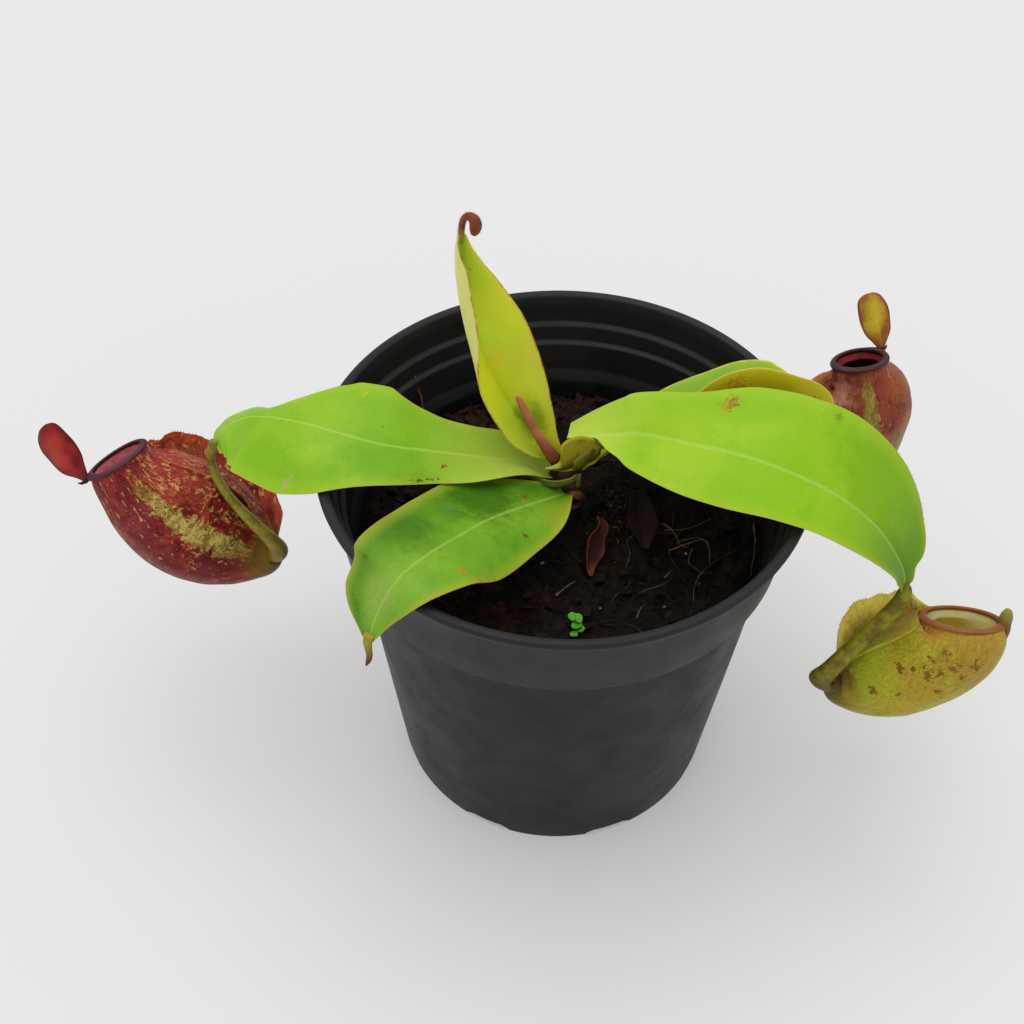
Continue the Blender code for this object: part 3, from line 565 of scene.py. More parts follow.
leafYoung = {
    "rows": [
        (-1.8, 5.6, 106.6, 2.2, 2.4, 60, 40, 0, 0), (-8.6, 7.9, 112.5, 8.0, 7.5, 60, 20, 0, 0),
        (-15.0, 9.8, 121.0, 11.0, 11.5, 62, 12, 0, 0), (-20.8, 12.2, 132.0, 12.4, 13.5, 62, 8, 16, 0),
        (-25.0, 14.2, 143.5, 12.4, 13.0, 58, 8, 58, 0), (-27.4, 15.8, 155.0, 9.8, 9.0, 54, 8, 82, 0),
        (-27.9, 17.2, 163.0, 5.2, 4.4, 56, 8, 80, 0), (-27.4, 17.9, 169.0, 1.1, 1.1, 40, 20, 20, 0)],
    "stations": 150, "waves": (0.35, 2.4, 0.0, 1.2), "up": (0.25, -0.90, 0.30),
    "look": dict(
        youngGreens, green="c8e63c", bright="e2ee4e", deep="acd830", soft=0.8, base="e0dc48",
        baseRun=(0.0, 0.5), baseShare=0.6, tip="a2b834", tipRun=(0.5, 0.95), tipShare=0.8, side="a0cc2c",
        sideSign=-1.0, sideShare=0.5, length=70.0, half=11.0, ribTint="d0d850", ribShare=0.15,
        veinShare=0.10, under="e4dc86", edge="b4602c", edgeShare=1.0, margin=0.955, marginGlow=0.35,
        glow="dccb4c", mottle=0.15,
        zones=[
            ((0.18, 0.2), 7.0, "7d9c1c", 0.75), ((0.42, -0.5), 12.0, "e6e020", 0.8),
            ((0.45, 0.7), 8.0, "dccb50", 0.5)],
        spots=[spot(0.86, 0.35, 0.8, "6f7a1c", share=0.6)])}
leafBack = {
    "rows": [
        (2.8, 7.6, 99.6, 3.0, 1.0, 30, 30, 0, 0), (13.0, 13.4, 104.6, 6.5, 1.8, 10, 24, 0, 0),
        (26.0, 16.6, 111.5, 10.0, 6.5, 4, 44, -6, 15), (37.5, 19.0, 116.0, 13.0, 10.5, 2, 58, -8, 20),
        (48.0, 20.0, 119.4, 12.8, 11.0, 3, 64, -6, 25), (56.0, 19.8, 119.2, 11.2, 10.4, 6, 64, -6, 25),
        (63.8, 20.8, 115.6, 7.6, 8.2, 6, 58, -6, 20), (70.4, 23.2, 105.4, 1.4, 1.4, 0, 10, 0, 0)],
    "stations": 130, "waves": (0.6, 2.4, 0.5, 1.5), "up": (0, 0, 1),
    "look": dict(
        youngGreens, green="7fae34", bright="93bd44", deep="5f9420", soft=0.5, length=92.0, half=10.0,
        under="d8cc2c", edge="ecd84c", edgeShare=1.0, margin=0.93, mottle=0.3,
        spots=[
            spot(0.84, 0.35, 3.2, "2f3a10", ragged=2.2, grain=2.0),
            spot(0.86, 0.15, 2.2, "36400f", ragged=2.2, grain=2.0),
            spot(0.60, 0.6, 4.6, "a0682a", share=0.4, ragged=1.8)])}


def makeLeaf(name, leaf, slot, node, seed):
    rings, fields = bladeRings(
        leaf["rows"], leaf["stations"], leaf["waves"], leaf["up"], acrossShares, seed=seed)
    piece = loft(name, rings, leafFinish(name + "Skin", leaf["look"]), 60, fields)
    return dress(piece, slot, node)


stage("leaves")
makeLeaf("leafLeft", leafLeft, "leaf_green", "leaf_left", 1)
makeLeaf("leafRight", leafRight, "leaf_green", "leaf_right", 2)
makeLeaf("leafFront", leafFront, "leaf_deep_green", "leaf_front", 3)
makeLeaf("leafYoung", leafYoung, "leaf_green", "leaf_young", 4)
makeLeaf("leafBack", leafBack, "leaf_green", "leaf_back", 5)


# geometry nodes
geometry = "NodeSocketGeometry"


def grow(name, base, tree, values):  # runs a tree on the base and keeps its result as a plain mesh
    step = base.modifiers.new(name, "NODES")
    step.node_group = tree
    sockets = {item.name: item.identifier for item in tree.interface.items_tree if item.in_out == "INPUT"}
    for label, value in values.items():
        step[sockets[label]] = value
    base.update_tag()
    graph = bpy.context.evaluated_depsgraph_get()
    graph.update()
    mesh = bpy.data.meshes.new_from_object(base.evaluated_get(graph), depsgraph=graph)
    base.modifiers.remove(step)
    mesh.name = name
    return show(bpy.data.objects.new(name, mesh))


def makeScatterTree():  # lays the collection's pieces over a surface
    tree, w, given, out = newTree(
        "GeometryNodeTree", "scatter",
        (("Base", geometry, None), ("Pieces", "NodeSocketCollection", None),
         ("Where", "NodeSocketString", "all"), ("Density", number, 1000.0), ("Smallest", number, 0.5),
         ("Largest", number, 1.0), ("Tilt", number, 0.4), ("Sink", number, 0.0),
         ("Seed", "NodeSocketInt", 0), ("Finish", "NodeSocketMaterial", None)),
        (("Litter", geometry),))
    share = w.node(
        "GeometryNodeInputNamedAttribute", {"Name": given["Where"]}, data_type="FLOAT").outputs[0]
    spots = w.node(
        "GeometryNodeDistributePointsOnFaces",
        {"Mesh": given["Base"], "Density": w.times(share, given["Density"]), "Seed": given["Seed"]})
    info = w.node(
        "GeometryNodeCollectionInfo",
        {"Collection": given["Pieces"], "Separate Children": True, "Reset Children": True})
    low = w.join(w.times(given["Tilt"], -1.0), w.times(given["Tilt"], -1.0), 0.0)
    high = w.join(given["Tilt"], given["Tilt"], tau)
    turn = w.random("FLOAT_VECTOR", "Value", given["Seed"], {"Min": low, "Max": high})
    sizes = {2: given["Smallest"], 3: given["Largest"]}
    laid = w.node(
        "GeometryNodeInstanceOnPoints",
        {"Points": spots.outputs["Points"], "Instance": info.outputs[0], "Pick Instance": True,
         "Rotation": turn, "Scale": w.random("FLOAT", 1, w.plus(given["Seed"], 5.0), sizes)})
    drop = w.join(0.0, 0.0, w.times(given["Sink"], -mm))
    sunk = w.node(
        "GeometryNodeTranslateInstances",
        {"Instances": laid.outputs[0], "Translation": drop, "Local Space": False})
    w.link(w.realise(sunk, given["Finish"]), out["Litter"])
    return tree


def makeBristleTree():  # tapered hairs along a line of points, leaning the way the line's own field says
    tree, w, given, out = newTree(
        "GeometryNodeTree", "bristles",
        (("Base", geometry, None), ("Spacing", number, 0.8), ("Shortest", number, 0.6),
         ("Longest", number, 1.4), ("Root", number, 0.12), ("Scatter", number, 0.5), ("Keep", number, 1.0),
         ("Seed", "NodeSocketInt", 0), ("Finish", "NodeSocketMaterial", None)),
        (("Hairs", geometry),))
    line = w.node("GeometryNodeMeshToCurve", {"Mesh": given["Base"]})
    even = w.node(
        "GeometryNodeResampleCurve", {"Curve": line.outputs[0], "Length": w.times(given["Spacing"], mm)},
        mode="LENGTH")
    lean = w.node("GeometryNodeInputNamedAttribute", {"Name": "lean"}, data_type="FLOAT_VECTOR").outputs[0]
    stray = w.random("FLOAT_VECTOR", "Value", given["Seed"], {"Min": (-1, -1, -1), "Max": (1, 1, 1)})
    stray = w.vector("MULTIPLY", stray, w.join(given["Scatter"], given["Scatter"], given["Scatter"]))
    turn = w.node("FunctionNodeAlignRotationToVector", {"Vector": w.vector("ADD", lean, stray)}, axis="Z")
    sizes = {2: given["Shortest"], 3: given["Longest"]}
    size = w.random("FLOAT", 1, w.plus(given["Seed"], 3.0), sizes)
    some = w.random("BOOLEAN", 3, w.plus(given["Seed"], 9.0), {"Probability": given["Keep"]})
    hair = w.node(
        "GeometryNodeMeshCone",
        {"Vertices": 5, "Side Segments": 2, "Radius Top": 0.00002,
         "Radius Bottom": w.times(given["Root"], mm), "Depth": mm})
    laid = w.node(
        "GeometryNodeInstanceOnPoints",
        {"Points": even.outputs[0], "Instance": hair.outputs[0], "Selection": some,
         "Rotation": turn.outputs[0], "Scale": w.join(1.0, 1.0, size)})
    w.link(w.realise(laid, given["Finish"]), out["Hairs"])
    return tree


stage("growth trees")
scatterTree = makeScatterTree()
bristleTree = makeBristleTree()


def bristles(name, points, leans, finish, **values):
    mesh = bpy.data.meshes.new(name + "Line")
    mesh.from_pydata(
        (np.asarray(points, float) * mm).tolist(), [(k, k + 1) for k in range(len(points) - 1)], [])
    writeField(mesh, "lean", leans)
    line = show(bpy.data.objects.new(name + "Line", mesh))
    made = grow(name, line, bristleTree, dict(values, Finish=finish))
    bpy.data.objects.remove(line)
    return made


# pot
pot = {
    "height": 116.0, "crease": 28, "lip": 65.0, "bandTop": 62.2, "bandFoot": 59.3, "band": 26.0,
    "coneTop": 56.6, "base": 46.6, "wall": 1.6, "lift": 3.0, "pad": 20.0, "sides": 224, "notches": 8,
    "drains": 6, "notch": (14.0, 12.0, 4.4), "drainRadius": 4.5, "drainRing": 32.0}
potStep = pot["height"] - pot["band"]  # where the band's foot steps in


def potInner(z):
    foot, top = pot["lift"] + pot["wall"] + 1.0, potStep - 1.0
    share = min(1.0, max(0.0, (z - foot) / (top - foot)))
    return pot["base"] - pot["wall"] + share * (pot["coneTop"] - pot["base"])


def potProfile():
    top, lip, base, wall, lift, pad = (pot[k] for k in ("height", "lip", "base", "wall", "lift", "pad"))
    corners = [
        (pad, 0.0, 0.3), (pad + 2.0, lift, 0.3), (base - 5.0, lift, 0.4), (base - 3.0, 0.0, 0.4),
        (base, 0.0, 0.7), (pot["coneTop"], potStep, 0.6), (pot["bandFoot"], potStep + 0.6, 0.8),
        (pot["bandTop"], top - 4.0, 0.8), (lip - 0.4, top - 2.6, 0.5), (lip, top - 1.2, 0.4),
        (lip - 0.5, top - 0.3, 0.3), (lip - 1.5, top, 0.4), (lip - 2.8, top - 0.6, 0.4),
        (lip - 3.5, top - 3.6, 0.6), (lip - 3.8, top - 9.0, 0.4), (lip - 5.4, top - 9.6, 0.4),
        (lip - 5.8, top - 14.4, 0.4), (lip - 7.3, top - 15.0, 0.4), (lip - 7.7, potStep + 2.0, 0.6),
        (pot["coneTop"] - wall, potStep - 1.0, 0.8), (base - wall, lift + wall + 1.0, 1.0),
        (base - wall - 2.0, lift + wall, 0.8), (pad + 1.2, lift + wall, 0.3), (pad - 0.8, wall, 0.3)]
    round3 = []
    for n, (r, z, soft) in enumerate(corners):
        here = np.array([r, z])
        if n in (0, len(corners) - 1):
            round3.append(here)
            continue
        before, after = np.array(corners[n - 1][:2]), np.array(corners[n + 1][:2])
        cutA = min(soft, 0.45 * np.linalg.norm(before - here))
        cutB = min(soft, 0.45 * np.linalg.norm(after - here))
        a, b = here + unit(before - here) * cutA, here + unit(after - here) * cutB
        for t in (0.0, 0.33, 0.67, 1.0):
            round3.append((1 - t) ** 2 * a + 2 * t * (1 - t) * here + t * t * b)
    filled = [round3[0]]
    for a, b in zip(round3, round3[1:]):
        steps = max(1, int(np.linalg.norm(b - a) / 7.0))
        filled += [a + (b - a) * (n + 1) / steps for n in range(steps)]
    return np.array(filled)


def cutter(name, rings):
    thing = loft(name, rings, plasticFinish)
    helpers.append(thing)
    return thing


def makePlastic():
    material, w = newFinish("nurseryPlastic", 0.5, 0.22)
    place = w.place()
    z = w.split(place)[2]
    rub = w.cloud(place, 0.06, 4.0, 0.6, 0.5)
    colour = w.blend(w.remap(rub, 0.35, 0.75), "111111", "1b1b1c")
    lines = w.cloud(w.vector("MULTIPLY", place, (0.05, 0.05, 1.1)), 1.0, 3.0, 0.6)
    colour = w.paint(colour, "303030", w.remap(lines, 0.55, 0.8, 0.0, 0.35))
    band = w.remap(z, potStep - 0.5, potStep + 2.0)
    colour = w.paint(colour, "373736", band, 0.4)
    dust = w.group(flecks, Coords=place, Scale=0.5, Amount=0.40, Size=0.10)["Mask"]
    colour = w.paint(colour, "6f5a50", dust, 0.30)
    haze = w.times(w.remap(w.cloud(place, 0.03, 3.0), 0.5, 0.72), 0.22)
    colour = w.paint(colour, "4a403c", haze)
    scuff = w.remap(w.cloud(w.vector("MULTIPLY", place, (1, 1, 2.2)), 0.9, 5.0, 0.7), 0.66, 0.74)
    colour = w.paint(colour, "77736e", scuff, 0.12)
    grain = w.plus(w.cloud(place, 3.5, 3.0, 0.6), w.times(lines, 0.8))
    w.wear(colour, grain, 0.035, w.remap(rub, 0.3, 0.75, 0.42, 0.6))
    return material


plasticFinish = makePlastic()


def makePot():
    angles = np.linspace(0, tau, pot["sides"], endpoint=False)
    rings = []
    for r, z in potProfile():
        sway = 0.0 if z < 1.0 else 0.10 * math.sin(0.04 * z)
        rings.append(circle(r + sway * np.cos(3 * angles + 0.6), angles, z))
    shell = loft("potShell", np.array(rings), plasticFinish, pot["crease"])
    cutters = []
    for k in range(pot["notches"]):
        a = tau * (k + 0.5) / pot["notches"]
        long, deep, tall = pot["notch"]
        corners = []
        for z in np.linspace(-tall / 2, tall / 2, 5):
            half = long / 2 * (1 - 0.35 * max(0.0, z / (tall / 2)) ** 2.5)
            corners.append(
                [(pot["base"] + i * deep / 2, j * half, z) for i,
                 j in ((-1, -1), (1, -1), (1, 1), (-1, 1))])
        turn = np.array([[math.cos(a), math.sin(a), 0], [-math.sin(a), math.cos(a), 0], [0, 0, 1]])
        cutters.append(cutter(f"notch{k}", np.array(corners) @ turn))
    for k in range(pot["drains"]):
        a = tau * k / pot["drains"]
        ring = circle(pot["drainRadius"], angles[::8], 0.0)
        centre = np.array([pot["drainRing"] * math.cos(a), pot["drainRing"] * math.sin(a), 0])
        cutters.append(
            cutter(f"drain{k}", np.array([ring + centre - (0, 0, 4), ring + centre + (0, 0, 9)])))
    for tool in cutters:
        step = shell.modifiers.new(tool.name, "BOOLEAN")
        step.operation, step.solver, step.object = "DIFFERENCE", "EXACT", tool
    graph = bpy.context.evaluated_depsgraph_get()
    mesh = bpy.data.meshes.new_from_object(shell.evaluated_get(graph), depsgraph=graph)
    shell.modifiers.clear()
    shell.data = mesh
    mesh.set_sharp_from_angle(angle=math.radians(pot["crease"]))
    return dress(shell, "pot_plastic", "pot")


stage("pot")
makePot()

# soil
soil = {"level": 86.0, "rings": 96, "sides": 240, "skirt": 6.0, "hollow": 4.5}


def soilHeight(x, y):
    r = np.hypot(x, y)
    bumps = 1.1 * np.sin(0.21 * x + 0.9) * np.cos(0.17 * y - 0.4) + 0.7 * np.sin(0.43 * x - 0.31 * y + 1.7)
    bumps = bumps + 0.35 * np.sin(0.83 * y + 0.6 * x)
    return soil["level"] + 1.6 * np.exp(-(r / 26) ** 2) + bumps * np.minimum(1.0, r / 16)


def makeEarth(name, dark, brown, rust, gloss):
    material, w = newFinish(name, gloss, 0.25)
    place = w.place()
    x, y = w.split(place)[:2]
    clump = w.cloud(place, 0.22, 5.0, 0.65, 0.6)
    colour = w.blend(w.remap(clump, 0.42, 0.7), dark, brown)
    rustHere = w.times(w.remap(y, 18.0, 40.0), w.remap(w.cloud(place, 0.12, 3.0), 0.42, 0.6))
    front = w.times(
        w.remap(w.vector("DISTANCE", w.join(x, y, 0.0), (-14.0, -34.0, 0.0)), 6.0, 20.0, 1.0, 0.0),
        w.remap(w.cloud(place, 0.2, 3.0), 0.42, 0.6))
    colour = w.paint(colour, rust, w.calc("MAXIMUM", rustHere, front), 0.75)
    threads = w.cloud(w.vector("MULTIPLY", place, (0.3, 1.8, 0.6)), 0.9, 4.0, 0.7, 0.8)
    colour = w.paint(colour, rust, w.remap(threads, 0.6, 0.72, 0.0, 0.5))
    grit = w.group(flecks, Coords=place, Scale=1.1, Amount=0.30, Size=0.16)["Mask"]
    colour = w.paint(colour, "6d5a48", grit, 0.35)
    relief = w.plus(w.cloud(place, 1.3, 6.0, 0.75), w.times(threads, 0.7))
    w.wear(colour, relief, 0.9)
    return material


def makeSoil():
    sides, steps = soil["sides"], soil["rings"]
    turn = np.linspace(0, tau, sides, endpoint=False)
    edge = potInner(soil["level"]) - 0.15
    rings = []
    for r in np.linspace(0.6, edge, steps):
        points = circle(r, turn, 0.0)
        points[:, 2] = soilHeight(*points.T[:2])
        chunky = 1.5 * wobble(points, 5.5, 3) + 0.9 * wobble(points, 2.3, 5) + 0.45 * wobble(points, 1.0, 8)
        points[:, 2] += chunky * min(1.0, r / 7) - 1.8 * smooth(edge - 3.0, edge, r)
        rings.append(points)
    for down in (1.0, soil["skirt"]):
        r = potInner(soil["level"] - down) - 0.1
        rings.append(circle(r, turn, soil["level"] - soil["hollow"] - down))
    bed = loft("soilBed", np.array(rings), makeEarth("pottingMix", "110d0b", "271a12", "3c2014", 0.9), 60)
    return dress(bed, "potting_mix", "soil")


def shard(name, seed, finish, squash, cuts, rough):
    mesh = bpy.data.meshes.new(name)
    bm = bmesh.new()
    bmesh.ops.create_icosphere(bm, subdivisions=cuts, radius=mm)
    for v in bm.verts:
        push = 1 + rough * noise.noise(Vector(v.co) * 900 + Vector((seed * 3.7, seed, 0)))
        v.co = Vector((v.co.x * squash[0], v.co.y * squash[1], v.co.z * squash[2])) * push
    bm.to_mesh(mesh)
    bm.free()
    mesh.materials.append(finish)
    return bpy.data.objects.new(name, mesh)


def strand(name, length, radius, bow, seed, finish, sides=4, steps=8):
    t = np.linspace(0, 1, steps)
    sway, rise = bow * np.sin(math.pi * t + 0.4 * seed), 0.25 * bow * np.sin(tau * t + seed)
    path = np.column_stack([(t - 0.5) * length, sway, rise])
    path += 0.12 * bow * np.column_stack([np.zeros(steps), np.sin(9 * t + seed), np.cos(7 * t + seed)])
    thing = loft(name, tubeRings(path, radius * (1 - 0.75 * np.abs(2 * t - 1) ** 2), sides), finish)
    bpy.context.scene.collection.objects.unlink(thing)
    return thing


def collect(name, things):
    group = bpy.data.collections.new(name)
    for thing in things:
        group.objects.link(thing)
    helpers.extend(things)
    return group


def markGround(bed):  # how much of each kind of litter lies where
    place = np.empty(len(bed.data.vertices) * 3, np.float32)
    bed.data.vertices.foreach_get("co", place)
    x, y, z = place.reshape(-1, 3).T / mm
    r = np.hypot(x, y)
    inside = (1 - smooth(51, 54, r)) * (z > soil["level"] - 5.5)
    moss = np.exp(-(((x - 14) / 3.2) ** 2 + ((y - 9) / 4.0) ** 2))
    moss = moss + np.exp(-(((x - 15) / 2.6) ** 2 + ((y + 1) / 4.0) ** 2))
    moss = moss + 0.1 * np.exp(-(((x - 13) / 7) ** 2 + (y / 12) ** 2))
    fields = {
        "all": inside, "bark": inside * (0.5 + 0.5 * smooth(10, 30, y)), "moss": inside * moss,
        "strands": inside * (0.35 + 0.65 * smooth(-5, 18, x))}
    for label, values in fields.items():
        writeField(bed.data, label, values)


def strandFinish(name, dark, pale):
    material, w = newFinish(name, 0.75, 0.2)
    tone = w.remap(w.cloud(w.place(), 0.35, 3.0, 0.6), 0.35, 0.65)
    w.wear(w.blend(tone, dark, pale), w.cloud(w.place(), 6.0, 2.0), 0.05)
    return material


litter = {
    "barkChips": dict(Where="bark", Density=90000.0, Smallest=0.5, Largest=1.9, Tilt=1.2, Sink=0.2, Seed=4),
    "crumbs": dict(Where="all", Density=230000.0, Smallest=0.25, Largest=0.7, Tilt=3.1, Sink=0.05, Seed=9),
    "fibres": dict(
        Where="strands", Density=36000.0, Smallest=0.5, Largest=1.5, Tilt=0.5, Sink=-0.35, Seed=12),
    "paleFibres": dict(
        Where="strands", Density=1700.0, Smallest=0.7, Largest=1.6, Tilt=0.45, Sink=-0.9, Seed=31),
    "perlite": dict(Where="all", Density=2100.0, Smallest=0.25, Largest=0.6, Tilt=3.1, Sink=-0.3, Seed=17),
    "moss": dict(Where="moss", Density=900000.0, Smallest=0.5, Largest=1.4, Tilt=0.9, Sink=0.1, Seed=23)}


def makeLitter(bed):
    barkSkin = makeEarth("barkSkin", "17110d", "35221a", "4d2a1b", 0.8)
    crumbSkin = makeEarth("crumbSkin", "0e0b09", "221711", "38201a", 0.92)
    fibreSkin = strandFinish("fibreSkin", "1f150f", "3d2a1a")
    paleSkin = strandFinish("paleFibreSkin", "33261a", "5f4a2c")
    perliteSkin = strandFinish("perliteSkin", "77757a", "b4b2b4")
    mossSkin = strandFinish("mossSkin", "3d3a10", "84761c")
    kinds = {
        "barkChips": (
            barkSkin, [shard(f"chip{k}", k, barkSkin, (1.9, 1.0, 0.42), 2, 0.7) for k in range(5)]),
        "crumbs": (
            crumbSkin, [shard(f"crumb{k}", k + 9, crumbSkin, (1, 0.9, 0.8), 1, 0.8) for k in range(4)]),
        "fibres": (
            fibreSkin, [strand(f"fibre{k}", 6.0 + k, 0.11, 0.9 + 0.4 * k, k, fibreSkin) for k in range(5)]),
        "paleFibres": (
            paleSkin,
            [strand(f"paleFibre{k}", 8.0 + 2 * k, 0.12, 1.5 + 0.6 * k, k + 3, paleSkin, 5, 12)
             for k in range(4)]),
        "perlite": (
            perliteSkin, [shard(f"grain{k}", k + 20, perliteSkin, (1, 1, 0.8), 1, 0.5) for k in range(3)]),
        "moss": (mossSkin, [strand(f"sprig{k}", 1.6, 0.13, 0.5, k + 6, mossSkin, 4, 5) for k in range(3)])}
    for name, (finish, things) in kinds.items():
        group = collect(name + "Set", things)
        made = grow(name, bed, scatterTree, dict(litter[name], Pieces=group, Finish=finish))
        if name in ("barkChips", "crumbs"):
            made.data.shade_flat()
        else:
            made.data.shade_smooth()
        dress(made, "potting_mix")


stage("soil")
bed = makeSoil()
markGround(bed)
makeLitter(bed)

# loose roots lying on the mix: x, y and height over it, then radius
rootRuns = {
    "rootA": (
        [(26.9, -0.3, 1.2), (28.5, -2.1, 2.0), (30.7, -4.0, 2.2), (32.5, -7.1, 1.6), (34.9, -7.0, 1.0)],
        0.26),
    "rootB": ([(27.9, -3.1, 1.2), (33.1, -1.8, 1.8), (37.8, 1.1, 1.8), (41.0, 4.0, 1.0)], 0.20),
    "rootC": (
        [(29.1, -8.1, 1.2), (34.5, -6.9, 2.2), (38.4, -5.9, 2.4), (39.8, -8.1, 2.0), (40.2, -12.7, 1.0)],
        0.26),
    "rootD": ([(31.1, -6.5, 1.6), (33.0, -5.5, 2.0), (37.6, -4.7, 1.8), (39.5, -6.1, 1.2)], 0.18),
    "rootE": ([(35.6, -8.4, 1.6), (34.4, -12.5, 1.6), (36.6, -14.4, 1.4), (38.5, -15.3, 1.0)], 0.22),
    "rootF": ([(40.5, -14.7, 1.0), (37.3, -16.9, 2.2), (35.9, -20.4, 1.8), (35.4, -25.3, 0.8)], 0.24),
    "rootWall": ([(52.6, 3.1, 1.6), (52.4, -3.1, 2.2), (51.8, -9.3, 2.0), (50.4, -17.4, 1.4)], 0.22),
    "rootShort": ([(27.7, -18.4, 1.0), (29.0, -16.8, 1.6), (30.1, -15.3, 1.2)], 0.26),
    "straw": ([(-0.6, -26.7, 1.0), (2.0, -23.5, 1.5), (4.2, -20.6, 1.2)], 0.34),
    "rootG": ([(20.6, -32.1, 1.0), (21.6, -29.7, 1.4), (22.9, -27.6, 1.0)], 0.20),
    "twig": ([(-41.0, 33.4, 1.0), (-41.6, 36.4, 8.6), (-42.5, 38.3, 12.6), (-43.7, 39.8, 16.6)], 0.42),
    "twigSide": ([(-42.5, 38.3, 12.0), (-44.4, 39.0, 15.0), (-45.6, 39.8, 17.4)], 0.22)}


def makeRoots():
    skin = strandFinish("rootSkin", "4f3c26", "86694a")
    twigSkin = strandFinish("twigSkin", "5a2c1c", "8a5236")
    for name, (rows, radius) in rootRuns.items():
        path = spline([(x, y, float(soilHeight(x, y)) + h) for x, y, h in rows], 26)
        path = path + 0.25 * np.column_stack([wobble(path, 4.0, k) for k in (2, 3, 4)])
        t = np.linspace(0, 1, len(path))
        radii = radius * (1 - 0.55 * t) * (1 + 0.15 * np.sin(23 * t))
        dress(loft(name, tubeRings(path, radii, 6), twigSkin if "twig" in name else skin), "potting_mix")


makeRoots()


# stem and sheaths
def stemFinish(name, look):
    material, w = newFinish(name, look.get("roughness", 0.45), 0.3)
    place = w.place()
    run = w.field("run", "Fac")
    colour = w.blend(w.remap(w.cloud(place, 0.3, 3.0, 0.6), 0.35, 0.65), look["low"], look["high"])
    colour = w.paint(colour, look["end"], w.remap(run, *look["endRun"]), look["endShare"])
    freckle = w.group(flecks, Coords=place, Scale=1.4, Amount=0.46, Size=0.20)["Mask"]
    colour = w.paint(colour, look["freckle"], freckle, look["freckles"])
    fine = w.cloud(place, 2.4, 4.0, 0.6)
    w.wear(colour, fine, 0.10)
    return material


oliveStem = dict(
    low="5f6a1c", high="8a9434", end="5a3f16", endRun=(0.0, 0.4), endShare=0.0, freckle="4a2414",
    freckles=0.35)


def tubePiece(name, rows, stations, sides, finish, flat=1.0, shape=None, up=(0, 0, 1)):
    data = spline(rows, stations)
    rings = tubeRings(data[:, :3], data[:, 3], sides, flat, up, shape)
    run = np.repeat(np.linspace(0, 1, stations)[:, None], sides, 1)
    return loft(name, rings, finish, 70, {"run": run})


stem = {
    "rows": [
        (0.7, 2.1, 66.5, 3.2), (0.7, 2.1, 80.0, 3.6), (0.7, 2.4, 88.0, 3.9), (1.0, 3.0, 95.0, 4.0),
        (1.6, 3.6, 100.0, 3.8), (1.8, 4.4, 105.4, 2.6)],
    "look": dict(oliveStem, low="33241a", high="5a4030", end="2a1c14", endRun=(0.95, 0.6), endShare=0.9)}
# leaf bases wrapped round the crown: upper and lower edges, bulge and tints (upper tone, lower tone painted
# as shade, tip, margin tone painted as highlight)
clasps = {
    "claspRight": dict(
        upper=[
            (10.4, 4.6, 112.2), (9.5, 5.0, 112.4), (7.8, 6.0, 113.2), (6.1, 6.5, 113.7), (3.8, 6.5, 114.0),
            (1.8, 6.0, 113.7), (0.2, 5.0, 113.4), (-0.9, 3.6, 113.1), (-1.1, 2.4, 112.0),
            (-1.1, 1.6, 110.5), (-1.5, 0.8, 109.4), (-3.1, 0.2, 108.7), (-5.0, -0.2, 108.3)],
        lower=[
            (10.4, 4.3, 111.6), (9.5, 4.4, 111.6), (9.4, 3.4, 110.3), (8.4, 2.2, 108.8), (6.3, 1.4, 107.9),
            (4.2, 0.8, 107.4), (2.6, 0.4, 107.2), (1.1, 0.0, 107.1), (-0.2, -0.2, 107.1),
            (-1.4, -0.3, 107.3), (-2.5, -0.4, 107.5), (-3.7, -0.4, 107.6), (-5.0, -0.3, 108.0)],
        bulge=0.5, tints=("948c1a", "302808", "c6cc50", "bcb82a"), tipRun=(0.74, 0.86)),
    "claspFront": dict(
        upper=[
            (-11.6, 3.0, 104.0), (-10.0, 2.0, 103.8), (-7.7, 1.0, 104.0), (-5.3, 0.0, 103.8),
            (-2.9, -0.6, 103.8), (-0.6, -0.8, 104.4), (1.7, -0.6, 105.1), (3.3, 0.4, 105.8)],
        lower=[
            (-11.4, 2.8, 102.8), (-9.7, 1.8, 102.6), (-7.3, 0.6, 102.1), (-5.2, -0.6, 101.5),
            (-2.8, -1.2, 101.4), (-0.5, -1.4, 102.0), (1.6, -1.2, 103.1), (3.0, -0.2, 104.1)],
        bulge=0.7, tints=("5c6420", "34360e", "5a5828", "8e965a"), tipRun=(0.6, 1.0))}
